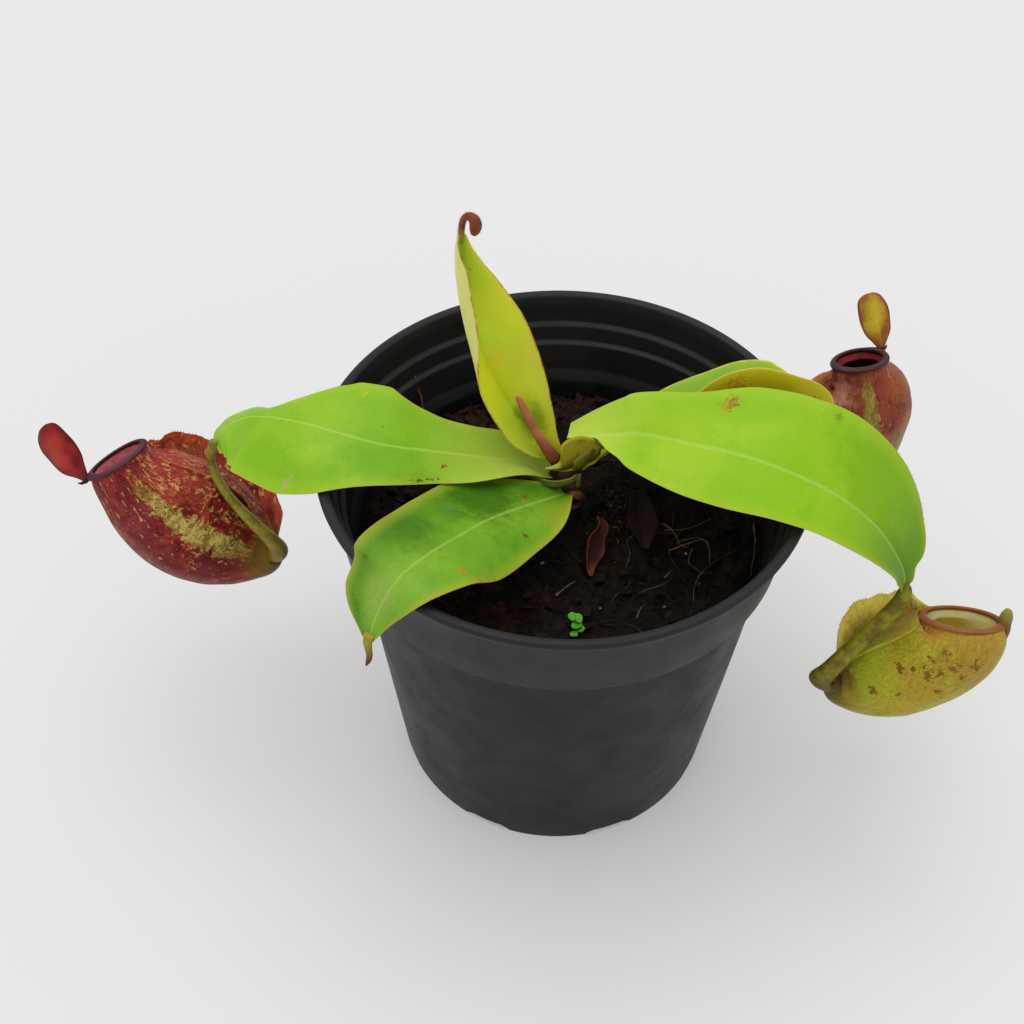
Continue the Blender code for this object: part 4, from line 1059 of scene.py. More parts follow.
# short shoots and old petioles: x y z radius, squash, tints
crownBits = {
    "greenShoot": dict(
        rows=[
            (3.2, 1.4, 106.4, 0.8), (3.6, 0.4, 108.4, 1.5), (4.6, 0.0, 110.8, 1.8), (6.0, 0.6, 112.6, 1.6),
            (7.6, 2.4, 113.4, 0.7)],
        flat=0.45, low="5a5210", high="7e781c", end="5e5a18"),
    "greenKnob": dict(
        rows=[
            (2.9, 0.3, 109.0, 0.5), (3.2, -0.1, 110.4, 0.9), (3.9, -0.1, 111.8, 0.9),
            (4.6, 0.5, 112.6, 0.5)],
        flat=0.7, low="5a5a18", high="84843a", end="6a6424"),
    "oldPetiole": dict(
        rows=[(1.2, 0.2, 98.4, 1.0), (2.7, -0.4, 98.8, 1.3), (4.3, -0.4, 98.2, 1.3), (5.8, 0.2, 96.6, 0.8)],
        flat=0.6, low="5a3a10", high="8a6a1e", end="3a2410"),
    "paperyCurl": dict(
        rows=[
            (4.2, -0.3, 106.6, 0.5), (4.0, -0.9, 105.0, 0.6), (3.9, -1.1, 103.4, 0.5),
            (3.8, -1.0, 101.6, 0.25)],
        flat=0.4, low="5f5a30", high="847c4c", end="5a5030"),
    "scarRing": dict(
        rows=[
            (-2.8, -0.2, 94.6, 0.6), (0.4, -1.3, 94.0, 0.8), (3.8, -0.6, 94.4, 0.8), (5.4, 1.6, 95.6, 0.5)],
        flat=0.8, low="2c2012", high="4a3a20", end="2a1c10")}


claspCuts, claspDeep = 14, 9.0  # cuts from edge to edge, and a place off the midrib for the leaf finish


def makeClasp(name, plan):
    upper, lower = (spline(plan[k], 44) for k in ("upper", "lower"))
    u = np.linspace(0, 1, claspCuts)[None, :, None]
    grid = upper[:, None] * (1 - u) + lower[:, None] * u
    normal = np.cross(np.gradient(grid, axis=0), np.gradient(grid, axis=1))
    normal /= np.linalg.norm(normal, axis=2)[..., None] + 1e-9
    if normal[..., 1].mean() > 0:
        normal = -normal
    crinkle = 0.18 * wobble(grid, 3.0, 4)[..., None]
    grid = grid + plan["bulge"] * np.sin(math.pi * u) * normal + crinkle * normal
    thick = 0.45 * (1 - 0.5 * np.abs(2 * u - 1) ** 3)
    rings = np.concatenate([grid + thick / 2 * normal, (grid - thick / 2 * normal)[:, ::-1]], axis=1)
    v = np.linspace(0, 1, len(grid))
    marks = np.stack(
        [np.repeat(v[:, None], claspCuts, 1), np.repeat((1 - 2 * u[0, :, 0])[None], len(grid), 0),
         np.full(grid.shape[:2], claspDeep)],
        axis=-1)
    # the low tint, laid over the lower half, is painted shade; the edge tint along the margins is a painted
    # highlight
    high, low, tip, edge = plan["tints"]
    look = dict(
        youngGreens, green=high, bright=high, deep=low, base=high, baseShare=0.0, tip=tip,
        tipRun=plan["tipRun"], tipShare=0.9, side=low, sideSign=-1.0, sideShare=0.9, under=low, edge=edge,
        glow=edge, marginGlow=0.7, margin=0.84, motes=0.0, ribShare=0.0, veinShare=0.2, vein=low,
        length=20.0, half=3.0, relief=0.35, mottle=0.9, roughness=0.6, specular=0.08)
    piece = loft(
        name, rings, leafFinish(name + "Skin", look), 60,
        {"blade": np.concatenate([marks, marks[:, ::-1]], axis=1), "under": np.zeros(rings.shape[:2])})
    dress(piece, "stem_olive")


smallShares = np.concatenate([-np.linspace(1, 0.12, 8), [0.0], np.linspace(0.12, 1, 8)])


def smallBlade(
        name, rows, up, look, slot, *nodes, stations=48, waves=(0.2, 2.0, 0.4, 1.8), seed=3, flutter=0.2,
        crease=0.1):
    rings, fields = bladeRings(
        rows, stations, waves, up, smallShares, crease=crease, flutter=flutter, seed=seed)
    piece = loft(name, rings, leafFinish(name + "Skin", look), 60, fields)
    return dress(piece, slot, *nodes)


def makeCrown():
    def scars(turn, v):
        return 1 + 0.05 * np.cos(3 * turn + 9 * v) + 0.05 * math.sin(60 * v)

    dress(
        tubePiece("crownStem", stem["rows"], 60, 28, stemFinish("crownSkin", stem["look"]), shape=scars),
        "stem_olive", "stem")
    for name, plan in clasps.items():
        makeClasp(name, plan)
    for name, bit in crownBits.items():
        finish = stemFinish(
            name + "Skin",
            dict(
                oliveStem, low=bit["low"], high=bit["high"], end=bit["end"], endRun=(0.55, 1.0),
                endShare=0.8))
        dress(
            tubePiece(name, bit["rows"], 40, 18, finish, flat=bit["flat"], up=(0.2, -0.7, 0.7)),
            "stem_olive")


stage("crown")
makeCrown()

# spear, bud and withered tip
spear = {
    "rows": [
        (-1.6, 3.0, 107.6, 1.3), (-3.1, 2.6, 109.8, 1.7), (-5.0, 2.8, 112.9, 1.5), (-7.2, 3.6, 116.4, 1.3),
        (-9.4, 4.8, 120.2, 1.15), (-11.4, 6.2, 123.7, 1.0), (-12.6, 7.0, 125.7, 0.75),
        (-12.9, 7.3, 126.4, 0.3)],
    "look": dict(
        low="a8623c", high="c47c50", end="6a2c1c", endRun=(0.5, 0.05), endShare=0.85, freckle="8a4a2c",
        freckles=0.3, roughness=0.6)}
bud = {
    "rows": [
        (-27.4, 18.3, 165.4, 0.3), (-27.6, 18.2, 167.6, 0.75), (-27.5, 18.1, 170.0, 0.8),
        (-27.2, 18.0, 172.4, 0.8), (-26.6, 17.7, 174.2, 0.85), (-25.5, 17.2, 175.0, 1.05),
        (-24.4, 16.7, 174.6, 1.35), (-23.9, 16.4, 173.4, 1.5), (-24.0, 16.3, 172.0, 1.4),
        (-24.2, 16.3, 170.9, 1.0), (-24.3, 16.3, 170.2, 0.35)],
    "look": dict(
        low="7a3620", high="8f4c30", end="aa9c3a", endRun=(0.42, 0.1), endShare=0.95, freckle="b0805c",
        freckles=0.35, roughness=0.7),
    "hairRows": 5}
stub = {
    "rows": [
        (-44.6, -58.0, 107.6, 1.35), (-45.0, -58.6, 105.4, 1.15), (-44.9, -58.9, 103.2, 0.9),
        (-44.8, -59.0, 101.0, 0.8), (-45.2, -58.6, 98.4, 0.7), (-46.0, -58.2, 95.8, 0.25)],
    "look": dict(
        low="9a8a30", high="aa9a3c", end="5f2a14", endRun=(0.2, 0.75), endShare=1.0, freckle="3a1c10",
        freckles=0.5, roughness=0.7)}


def makeTips():
    def rolled(turn, v):  # the rolled blade's free edge winds round the spear
        return 1 + 0.16 * ((turn / tau + 0.6 * v) % 1.0) - 0.06

    downy = stemFinish("spearSkin", spear["look"])
    dress(
        tubePiece("newSpear", spear["rows"], 60, 30, downy, shape=rolled, up=(0.3, -0.8, 0.3)),
        "spear_pink", "new_leaf")
    brown = stemFinish("budSkin", bud["look"])
    dress(tubePiece("youngBud", bud["rows"], 50, 24, brown), "bud_brown", "young_bud")
    path = spline(bud["rows"], 60)
    rings = tubeRings(path[:, :3], path[:, 3], bud["hairRows"])
    for k in range(bud["hairRows"]):
        line = rings[6:, k]
        hairs = bristles(
            f"budHairs{k}", line, line - path[6:, :3], brown, Spacing=0.35, Shortest=0.2, Longest=0.5,
            Root=0.05, Scatter=0.6, Seed=k)
        dress(hairs, "bud_brown")
    dead = stemFinish("stubSkin", stub["look"])
    dress(tubePiece("frontStub", stub["rows"], 40, 16, dead), "dead_brown", "leaf_front_stub")


stage("spear, bud and stub")
makeTips()

# pitchers
# skin zones and blotches: place along, turn round the cup, size, tint, share
# inside and depth: the inner wall's own pale tint, lightened near the mouth as painted light, and darker
# deeper in as painted shade in the hollow
pitchers = {
    "Left": dict(
        node="left",
        spine=[
            (-80.6, -1.0, 68.2, 3.0), (-84.2, 0.6, 67.0, 7.2), (-90.4, 3.0, 67.4, 12.2),
            (-98.0, 4.8, 70.4, 15.8), (-107.1, 5.9, 76.0, 16.8), (-115.1, 5.9, 84.4, 14.5),
            (-119.9, 5.7, 91.2, 10.8), (-122.6, 6.8, 96.2, 8.8)],
        front=(0.42, 0.46, 0.78), mouth=(1.0, 0.68), slots=("cup_red", "rim_maroon", "lid_red"),
        collar=(0.85, 0.6),
        wings=[
            (7.0,
             [(0.04, 0.1), (0.10, 0.75), (0.3, 1.0), (0.6, 0.95), (0.8, 0.84), (0.92, 0.72), (0.99, 0.45)]),
            (1.0, [(0.06, 0.1), (0.3, 1.0), (0.8, 0.8), (0.97, 0.3)])],
        skin=dict(
            deep="640f0e", mid="9a241c", warm="b84c38", plum="8a2c38", wide=15.0, long=64.0,
            footRun=(0.13, 0.02), foot="7c6420", inside="f08c9c", depth="a04656", fin="a84434",
            finShare=0.5, soft=0.25, finSoft=0.6,
            band=dict(
                at=-1.50, wide=0.21, run=(0.02, 0.2), end=(0.72, 0.98), light="d0bc62", dark="8f6a2c"),
            flecks=dict(tint="dca660", at=-0.45, reach=1.5, most=1.15, least=0.7), specks=("3c100c", 0.95),
            zones=[
                (0.86, -0.4, 13, "c4504a", 0.7), (0.30, -2.2, 16, "6c1212", 0.8),
                (0.60, -2.4, 12, "7c2026", 0.7), (0.62, -0.7, 10, "a84630", 0.6),
                (0.30, -0.55, 9, "5c2c14", 0.7), (0.12, -1.6, 8, "7a4a1c", 0.7),
                (0.80, -2.0, 10, "84303a", 0.7), (0.70, 0.1, 8, "c07048", 0.6),
                (0.45, 0.3, 10, "a04428", 0.5)],
            blotches=[
                (0.42, -1.12, 3.2, "4a1812"), (0.55, -1.85, 3.4, "4c1418"), (0.22, -1.35, 3.0, "43200f"),
                (0.66, -1.2, 3.0, "6a2016"), (0.34, -1.75, 2.8, "4c1418"), (0.20, -1.9, 2.6, "5a1814"),
                (0.50, -0.9, 2.8, "54180f")],
            roughness=0.36, specular=0.12),
        hair="8a4426", rim="3c1420", rimLight="5c2834",
        lid=dict(deep="5e0f10", mid="941c1a", edge="3c1014", zone="b83c30", under="7a2420"),
        tendril=dict(
            rows=[
                (-94.4, 5.0, 107.2, 0.9), (-94.9, 5.3, 105.4, 1.15), (-96.6, 7.0, 98.5, 1.2),
                (-95.6, 6.0, 91.8, 1.25), (-91.2, 2.2, 86.9, 1.4), (-85.2, -0.9, 81.3, 1.7),
                (-80.8, -2.0, 76.0, 2.1), (-79.4, -1.8, 71.8, 2.7), (-81.4, -0.6, 69.0, 2.6),
                (-86.6, 1.6, 69.0, 1.5)],
            flat=1.0, up=(0, 0, 1), low="7a701c", high="a09634", end="7c6424")),
    "Right": dict(
        node="right",
        spine=[
            (76.0, -23.6, 51.2, 2.6), (79.4, -23.4, 50.4, 5.8), (84.8, -23.0, 51.8, 9.4),
            (91.6, -23.4, 56.9, 12.2), (98.6, -24.0, 63.4, 12.6), (104.4, -24.2, 70.2, 12.4),
            (107.2, -23.6, 75.8, 11.0), (107.2, -21.8, 79.4, 9.2)],
        front=(-0.50, 0.30, 0.82), mouth=(1.14, 0.88), slots=("cup_green", "rim_orange", "lid_amber"),
        collar=(0.85, 0.7),
        wings=[
            (1.0, [(0.06, 0.1), (0.3, 1.0), (0.8, 0.7), (0.93, 0.05)]),
            (8.2,
             [(0.04, 0.1), (0.12, 0.9), (0.3, 1.18), (0.5, 1.05), (0.7, 0.86), (0.85, 0.7), (0.99, 0.2)])],
        skin=dict(
            deep="a09c22", mid="bcb834", warm="c4a834", plum="c0963c", soft=0.4, wide=11.0, long=58.0,
            footRun=(0.16, 0.01), foot="74602a", inside="fff4b0", depth="f0dc80", fin="f4e08a",
            finShare=0.85, finSoft=0.9, band=None,
            flecks=dict(tint="c8be52", at=0.6, reach=2.0, most=0.5, least=0.3), specks=("7a4414", 0.5),
            zones=[
                (0.42, 0.95, 11, "b4c02c", 0.75), (0.95, 0.7, 6, "c8744a", 0.8),
                (0.93, -0.1, 6, "c87c4c", 0.75), (0.90, 2.2, 12, "b08a38", 0.7),
                (0.66, 1.8, 9, "b89c2c", 0.6), (0.16, 0.9, 7, "6a4c18", 0.6),
                (0.70, -0.2, 8, "b87a4a", 0.5)],
            blotches=[
                (0.60, 1.12, 2.2, "6b3c12"), (0.735, 1.50, 2.5, "74460f"), (0.81, 1.22, 1.6, "7a4c16"),
                (0.36, 1.35, 1.7, "6f4214"), (0.50, 1.62, 1.4, "74460f"), (0.86, 1.75, 1.6, "80501a"),
                (0.70, 1.95, 1.4, "7a4c16"), (0.89, 1.42, 1.6, "8a5420"), (0.9, 2.15, 1.5, "7a4818"),
                (0.68, 1.24, 1.3, "6b3c12"), (0.80, 1.62, 1.4, "7a4c16"), (0.84, 2.0, 1.3, "7a4818")],
            roughness=0.38, specular=0.14),
        hair="6a4a1c", rim="8a4a1c", rimLight="a06428",
        lid=dict(deep="5a4418", mid="746020", edge="4a2c14", zone="7c6a24", under="6a4a20"),
        # the dark brown end of the tendril is partly its own browning, partly painted shadow where it lies
        # against the cup
        tendril=dict(
            rows=[
                (91.0, -18.2, 89.6, 0.7), (91.2, -18.7, 87.0, 1.8), (89.6, -20.4, 82.6, 2.3),
                (83.8, -23.4, 75.4, 2.3), (78.6, -25.2, 67.4, 2.4), (74.8, -26.0, 60.2, 2.7),
                (73.4, -25.2, 55.4, 3.3), (75.4, -24.0, 52.2, 4.0), (82.0, -23.2, 51.4, 5.0)],
            flat=0.6, up=(-0.3, -0.5, 0.8), low="6a5f08", high="94900e", end="4e3210")),
    "Back": dict(
        node="back",
        spine=[
            (94.0, 53.0, 53.6, 2.4), (93.4, 53.0, 58.6, 6.0), (91.4, 53.0, 67.0, 9.2),
            (89.4, 53.0, 77.0, 12.0), (87.8, 52.8, 86.4, 13.6), (86.2, 52.6, 94.0, 12.4),
            (84.6, 53.0, 99.4, 9.0), (83.8, 54.0, 102.4, 8.0)],
        front=(-0.72, -0.66, 0.1), mouth=(0.94, 1.0), slots=("cup_rose", "rim_maroon", "lid_amber"),
        collar=(0.95, 0.75),
        wings=[
            (0.5, [(0.06, 0.1), (0.3, 1.0), (0.8, 0.8), (0.95, 0.1)]),
            (8.0,
             [(0.04, 0.0), (0.2, 0.5), (0.5, 0.7), (0.8, 0.92), (0.92, 1.0), (0.96, 0.9), (0.99, 0.4)])],
        skin=dict(
            deep="7a2c1e", mid="9c4630", warm="b06438", plum="8c3a38", soft=0.25, wide=12.0, long=56.0,
            footRun=(0.62, 0.30), foot="a39a54", inside="a83c42", depth="4c141a", fin="c8925c",
            finShare=0.7, finSoft=0.6,
            band=dict(
                at=0.90, wide=0.24, run=(0.30, 0.55), end=(0.90, 0.98), light="bca04c", dark="94843a"),
            flecks=dict(tint="c08a54", at=1.6, reach=1.0, most=0.6, least=0.3), specks=("54200f", 0.5),
            zones=[
                # the pale salmon zone near the mouth is a painted highlight on the shoulder, over the
                # skin's own pink
                (0.90, 0.02, 6.5, "f4a88c", 1.0), (0.79, 0.26, 5, "742830", 0.9),
                (0.90, 1.9, 10, "a85a30", 0.8), (0.60, 1.7, 7, "9c8440", 0.7),
                (0.80, 1.25, 4, "a85038", 0.7), (0.72, 1.5, 7, "93402e", 0.7),
                (0.80, -0.7, 8, "c8905c", 0.8), (0.55, 1.0, 9, "8a7a34", 0.6)],
            blotches=[
                (0.80, 1.7, 3.0, "6a2818"), (0.70, 1.3, 3.0, "7a3420"), (0.70, 0.85, 2.4, "4f4a1c"),
                (0.78, 2.1, 2.4, "7a3a20")],
            roughness=0.38, specular=0.14),
        hair="a8703c", rim="2c1014", rimLight="54222a",
        lid=dict(deep="80341a", mid="a86c24", edge="5c1c14", zone="d4bc2a", under="8a5a24"),
        tendril=dict(
            rows=[
                (70.2, 23.0, 106.4, 0.9), (70.6, 23.3, 104.6, 1.3), (75.6, 26.0, 92.0, 1.3),
                (82.6, 33.0, 74.0, 1.3), (89.0, 44.0, 54.0, 1.5), (93.0, 49.6, 48.8, 1.9),
                (94.4, 52.4, 49.6, 2.4), (94.0, 53.0, 54.6, 3.2)],
            flat=1.0, up=(0, 0, 1), low="6a6a20", high="8a8a34", end="8a8a40"))}
cupSize = {
    "stations": 120, "sides": 128, "floor": 22, "wall": 0.95, "wingTurn": 0.50, "wingCuts": 16, "ribs": 92}


def cupFrames(spec, stations):
    data = spline(spec["spine"], stations)
    normal = np.asarray(spec["front"], float)
    frames = []
    for i, (p, t, r) in enumerate(zip(data[:, :3], tangents(data[:, :3]), data[:, 3])):
        normal = unit(normal - (normal @ t) * t)
        late = smooth(0.74, 1.0, i / (stations - 1))
        first, second = (1 + (k - 1) * late for k in spec["mouth"])
        frames.append((p, t, normal * first, np.cross(t, normal) * second, r))
    return frames


def cupFinish(name, look):
    material, w = newFinish(name, look["roughness"], look["specular"], soft=look["soft"])
    along, cosine, sine = w.split(w.field("skin"))
    inward, fin, place = w.field("inside", "Fac"), w.field("fin", "Fac"), w.place()
    angle = w.calc("ARCTAN2", sine, cosine)
    wide, long = look["wide"], look["long"]
    skin = w.join(w.times(cosine, wide), w.times(sine, wide), w.times(along, long))

    def onSkin(at, turn):
        return wide * math.cos(turn), wide * math.sin(turn), long * at

    def drawn(share):  # the skin's place with its length scaled, so that marks run along it
        return w.vector("MULTIPLY", skin, (1.0, 1.0, share))

    streaky = w.cloud(drawn(0.4), 0.45, 5.0, 0.7, 0.8)
    patchy = w.cloud(skin, 0.14, 3.0, 0.6, 0.5)
    fineRun = w.cloud(drawn(0.35), 1.5, 4.0, 0.7, 0.4)
    colour = w.blend(w.remap(streaky, 0.40, 0.60), look["deep"], look["mid"])
    colour = w.paint(colour, look["warm"], w.remap(patchy, 0.46, 0.64, 0.0, 0.8))
    for at, turn, radius, code, share in look["zones"]:
        zone = w.group(
            softPatch, Skin=skin, Place=onSkin(at, turn), Radius=float(radius), Warp=1.0,
            Grain=0.35)["Mask"]
        colour = w.paint(colour, code, zone, share)
    lip = w.remap(w.plus(along, w.around(streaky, 0.2)), 0.84, 1.0)
    colour = w.paint(colour, look["plum"], lip, 0.6)
    # pale flecks, denser on one side
    f = look["flecks"]
    gap = w.calc("ABSOLUTE", w.less(angle, f["at"]))
    dense = w.remap(gap, 0.35 * f["reach"], 1.5 * f["reach"], f["most"], f["least"])
    dense = w.times(dense, w.remap(w.cloud(skin, 0.22, 2.0), 0.3, 0.62, 0.45, 1.0))
    level = w.less(0.69, w.times(dense, 0.155))
    light = w.remap(w.cloud(drawn(0.42), 0.85, 3.0, 0.72, 0.4), level, w.plus(level, 0.07))
    colour = w.paint(colour, f["tint"], light, 0.85)
    if look["band"]:
        b = look["band"]
        jag = w.less(w.cloud(drawn(0.6), 0.55, 6.0, 0.75, 0.5), 0.5)
        spread = w.times(b["wide"], w.less(1.25, w.times(along, 0.6)))
        away = w.calc("DIVIDE", w.calc("ABSOLUTE", w.less(angle, b["at"])), spread)
        away = w.plus(away, w.times(jag, 4.2))
        band = w.times(w.remap(away, 0.75, 1.15, 1.0, 0.0), w.remap(along, *b["run"]))
        band = w.times(band, w.remap(along, *b["end"], 1.0, 0.0))
        tone = w.blend(w.remap(w.cloud(skin, 0.5, 4.0, 0.7), 0.36, 0.6), b["dark"], b["light"])
        colour = w.mix(band, colour, tone)
    grain = w.cloud(drawn(0.6), 1.9, 3.0, 0.8)
    colour = w.paint(colour, look["specks"][0], w.remap(grain, 0.36, 0.52, 0.34, 0.0))
    # dark specks and blotches
    tiny = w.group(flecks, Coords=drawn(0.7), Scale=1.5, Amount=0.52, Size=0.34)
    colour = w.paint(colour, look["specks"][0], tiny["Mask"], look["specks"][1])
    dark = w.group(flecks, Coords=place, Scale=0.75, Amount=0.46, Size=0.24)["Mask"]
    colour = w.paint(colour, look["specks"][0], dark, look["specks"][1] * 0.7)
    for at, turn, radius, code in look["blotches"]:
        mask = w.group(
            raggedSpot, Skin=skin, Place=onSkin(at, turn), Radius=radius, Ragged=1.9, Grain=0.8)["Mask"]
        colour = w.paint(colour, code, mask, 0.8)
    heel = w.plus(along, w.around(streaky, 0.12))
    colour = w.paint(colour, look["foot"], w.remap(heel, *look["footRun"]))
    edge = w.times(w.remap(w.plus(fin, w.less(streaky, 0.5)), 0.2, 0.9), look["finShare"])
    colour = w.paint(colour, look["fin"], edge)
    rust = w.remap(w.cloud(drawn(2.0), 0.7, 4.0, 0.7), 0.5, 0.62)
    colour = w.paint(colour, look["mid"], w.times(rust, fin), 0.6)
    # inner wall: the inside tint near the mouth, lightened as painted light, turns to the darker depth tint
    # deeper in, painted shade in the hollow, clouded with the same darker tone
    far = w.blend(w.remap(along, 0.97, 0.66), look["inside"], look["depth"])
    far = w.paint(far, look["depth"], w.remap(w.cloud(place, 0.4, 3.0), 0.45, 0.7, 0.0, 0.5))
    colour = w.mix(inward, colour, far)
    relief = w.plus(fineRun, w.times(w.cloud(place, 1.8, 4.0, 0.65), 0.8))
    w.wear(
        colour, relief, 0.2, w.remap(fineRun, 0.3, 0.7, look["roughness"] - 0.06, look["roughness"] + 0.12))
    return material


def cupMarks(v, turn):
    return np.column_stack([np.full(len(turn), v), np.cos(turn), np.sin(turn)])


def makeCup(label, spec):
    sides, stations = cupSize["sides"], cupSize["stations"]
    frames = cupFrames(spec, stations)
    turn = np.linspace(-math.pi, math.pi, sides, endpoint=False)
    outer, inner, outerMarks, innerMarks = [], [], [], []
    for i, (p, t, n, s, r) in enumerate(frames):
        v = i / (stations - 1)
        way = np.cos(turn)[:, None] * n + np.sin(turn)[:, None] * s
        body = math.sin(math.pi * min(1.0, v * 1.02)) ** 0.6
        ridges = 0.10 * np.cos(11 * turn + 2.0 * v) + 0.05 * np.cos(29 * turn - 3.0 * v)
        outline = p + (r + ridges * body)[:, None] * way
        outline += (0.2 * body * wobble(outline, 4.5, 4))[:, None] * way
        outer.append(outline)
        outerMarks.append(cupMarks(v, turn))
        if i >= cupSize["floor"] and (i % 2 or i == stations - 1):
            lip = smooth(0.78, 0.88, v) * smooth(1.0, 0.95, v)  # a thicker wall just under the mouth
            inner.append(p + (r - cupSize["wall"] * (1 + 1.1 * lip)) * way)
            innerMarks.append(cupMarks(v, turn))
    rings = np.array(outer + inner[::-1])
    marks = np.array(outerMarks + innerMarks[::-1])
    inside = np.concatenate([np.zeros((len(outer), sides)), np.ones((len(inner), sides))])
    skin = cupFinish(f"cup{label}Skin", spec["skin"])
    dress(
        loft(f"cup{label}", rings, skin, 60, {"skin": marks, "inside": inside, "fin": 0 * inside}),
        spec["slots"][0], f"cup_{spec['node']}")
    return frames


def makeWings(label, spec, frames):  # thin crests that grow out of the cup's own wall
    skin = cupFinish(f"wing{label}Skin", dict(spec["skin"], soft=spec["skin"]["finSoft"]))
    hairSkin = strandFinish(f"wing{label}HairSkin", spec["hair"], spec["skin"]["fin"])
    cuts = cupSize["wingCuts"]
    u = np.linspace(0, 1, cuts)
    for side, (reach, profile) in enumerate(spec["wings"]):
        turn = cupSize["wingTurn"] * (1 - 2 * side)
        rings, marks, fins, tips, leans = [], [], [], [], []
        for i, (p, t, n, s, r) in enumerate(frames):
            v = i / (len(frames) - 1)
            if not profile[0][0] <= v <= profile[-1][0]:
                continue
            uneven = 1 + 0.008 * math.sin(1.3 * i) + 0.03 * math.sin(0.33 * i)
            stand = reach * np.interp(v, *zip(*profile)) * uneven
            stand = max(stand - 0.9 * smooth(0.04, 0.0, min(v - profile[0][0], profile[-1][0] - v)), -0.85)
            way = math.cos(turn) * n + math.sin(turn) * s
            across = -math.sin(turn) * n + math.cos(turn) * s
            ripple = 0.012 * stand * u ** 1.5 * math.sin(0.66 * i + turn)
            ripple = ripple + 0.04 * stand * u * math.sin(0.19 * i)
            root = max(0.0, min(2.6, 0.5 * stand + 0.4))
            thick = 0.24 + root * (1 - u) ** 3.2
            line = p + (r - 0.9 + u * (stand + 0.9))[:, None] * way + ripple[:, None] * across
            front, back = line + thick[:, None] * across, line - thick[:, None] * across
            rings.append(np.vstack([front, back[::-1]]))
            lean = 0.5 * u * max(stand, 0.0) / r
            marks.append(np.vstack([cupMarks(v, turn + lean), cupMarks(v, turn - lean)[::-1]]))
            high = u * min(1.0, max(stand, 0.0) / 4.0)
            fins.append(np.concatenate([high, high[::-1]]))
            tips.append(line[-1])
            leans.append(way + 0.35 * t)
        fields = {
            "skin": np.array(marks), "inside": np.zeros((len(rings), 2 * cuts)), "fin": np.array(fins)}
        dress(loft(f"wing{label}{side}", np.array(rings), skin, 60, fields), spec["slots"][0])
        hairs = bristles(
            f"wing{label}{side}Hairs", tips, leans, hairSkin, Spacing=1.0, Shortest=0.2,
            Longest=0.8 if reach > 4 else 0.4, Root=0.10, Scatter=0.4, Seed=side + 2, Keep=0.75)
        dress(hairs, spec["slots"][0])


def rimFinish(name, dark, light):
    material, w = newFinish(name, 0.28, 0.3, coat=0.1)
    place = w.place()
    ridge = w.split(w.field("rib"))[0]
    colour = w.blend(w.remap(ridge, 0.1, 0.9), dark, light)
    colour = w.paint(colour, dark, w.remap(w.cloud(place, 0.35, 3.0), 0.45, 0.65, 0.0, 0.6))
    w.wear(colour, w.cloud(place, 2.5, 2.0), 0.05)
    return material


def makeRim(label, spec, frames):
    p, t, n, s, r = frames[-1]
    ribs, steps = cupSize["ribs"], 5
    wide, tall = spec["collar"]
    around = ribs * steps
    rings, marks = [], []
    b = np.linspace(0, tau, 18, endpoint=False)
    for k in range(around):
        a = tau * k / around
        out = math.cos(a) * n + math.sin(a) * s
        crest = 0.5 + 0.5 * math.cos(ribs * a)
        flare = 1 + 0.35 * math.exp(-((abs(a - math.pi)) / 0.35) ** 2)
        swell = (0.90 + 0.14 * crest) * flare * (1 + 0.08 * math.sin(2 * a + 1))
        centre = p + (r - 0.35) * out + 0.5 * t
        roll = wide * np.cos(b) * (1 + 0.12 * np.cos(b))
        curve = roll[:, None] * unit(out) + (tall * np.sin(b) - 0.2 * np.cos(b))[:, None] * t
        rings.append(centre + swell * curve)
        marks.append(np.repeat([[crest, a, 0.0]], len(b), 0))
    skin = rimFinish(f"rim{label}Skin", spec["rim"], spec["rimLight"])
    dress(
        loft(f"rim{label}", np.array(rings), skin, 80, {"rib": np.array(marks)}, closed=True),
        spec["slots"][1], f"peristome_{spec['node']}")
    angles = np.linspace(0, tau, 90)
    ring = [p + (r - 0.85) * (math.cos(a) * n + math.sin(a) * s) + 0.1 * t for a in angles]
    lean = [-0.55 * (math.cos(a) * n + math.sin(a) * s) - t for a in angles]
    teeth = bristles(
        f"rim{label}Teeth", ring, lean, skin, Spacing=0.5, Shortest=0.35, Longest=0.6, Root=0.13,
        Scatter=0.05, Seed=4)
    dress(teeth, spec["slots"][1])


# direction, way the upper face looks, length, half width and where it springs from
lidPlans = {
    "Left": dict(
        way=(-0.70, 0.53, 0.50), face=(-0.30, -0.72, 0.45), size=(18.4, 5.5), shift=(0.0, 0.0, 0.0)),
    "Right": dict(
        way=(0.30, 0.60, -0.74), face=(0.70, 0.0, 0.70), size=(9.5, 2.6), shift=(-0.8, 2.4, -3.0)),
    "Back": dict(
        way=(-0.30, 0.58, 0.74), face=(0.25, -0.75, 0.50), size=(16.2, 4.9), shift=(0.2, 0.0, 0.3))}


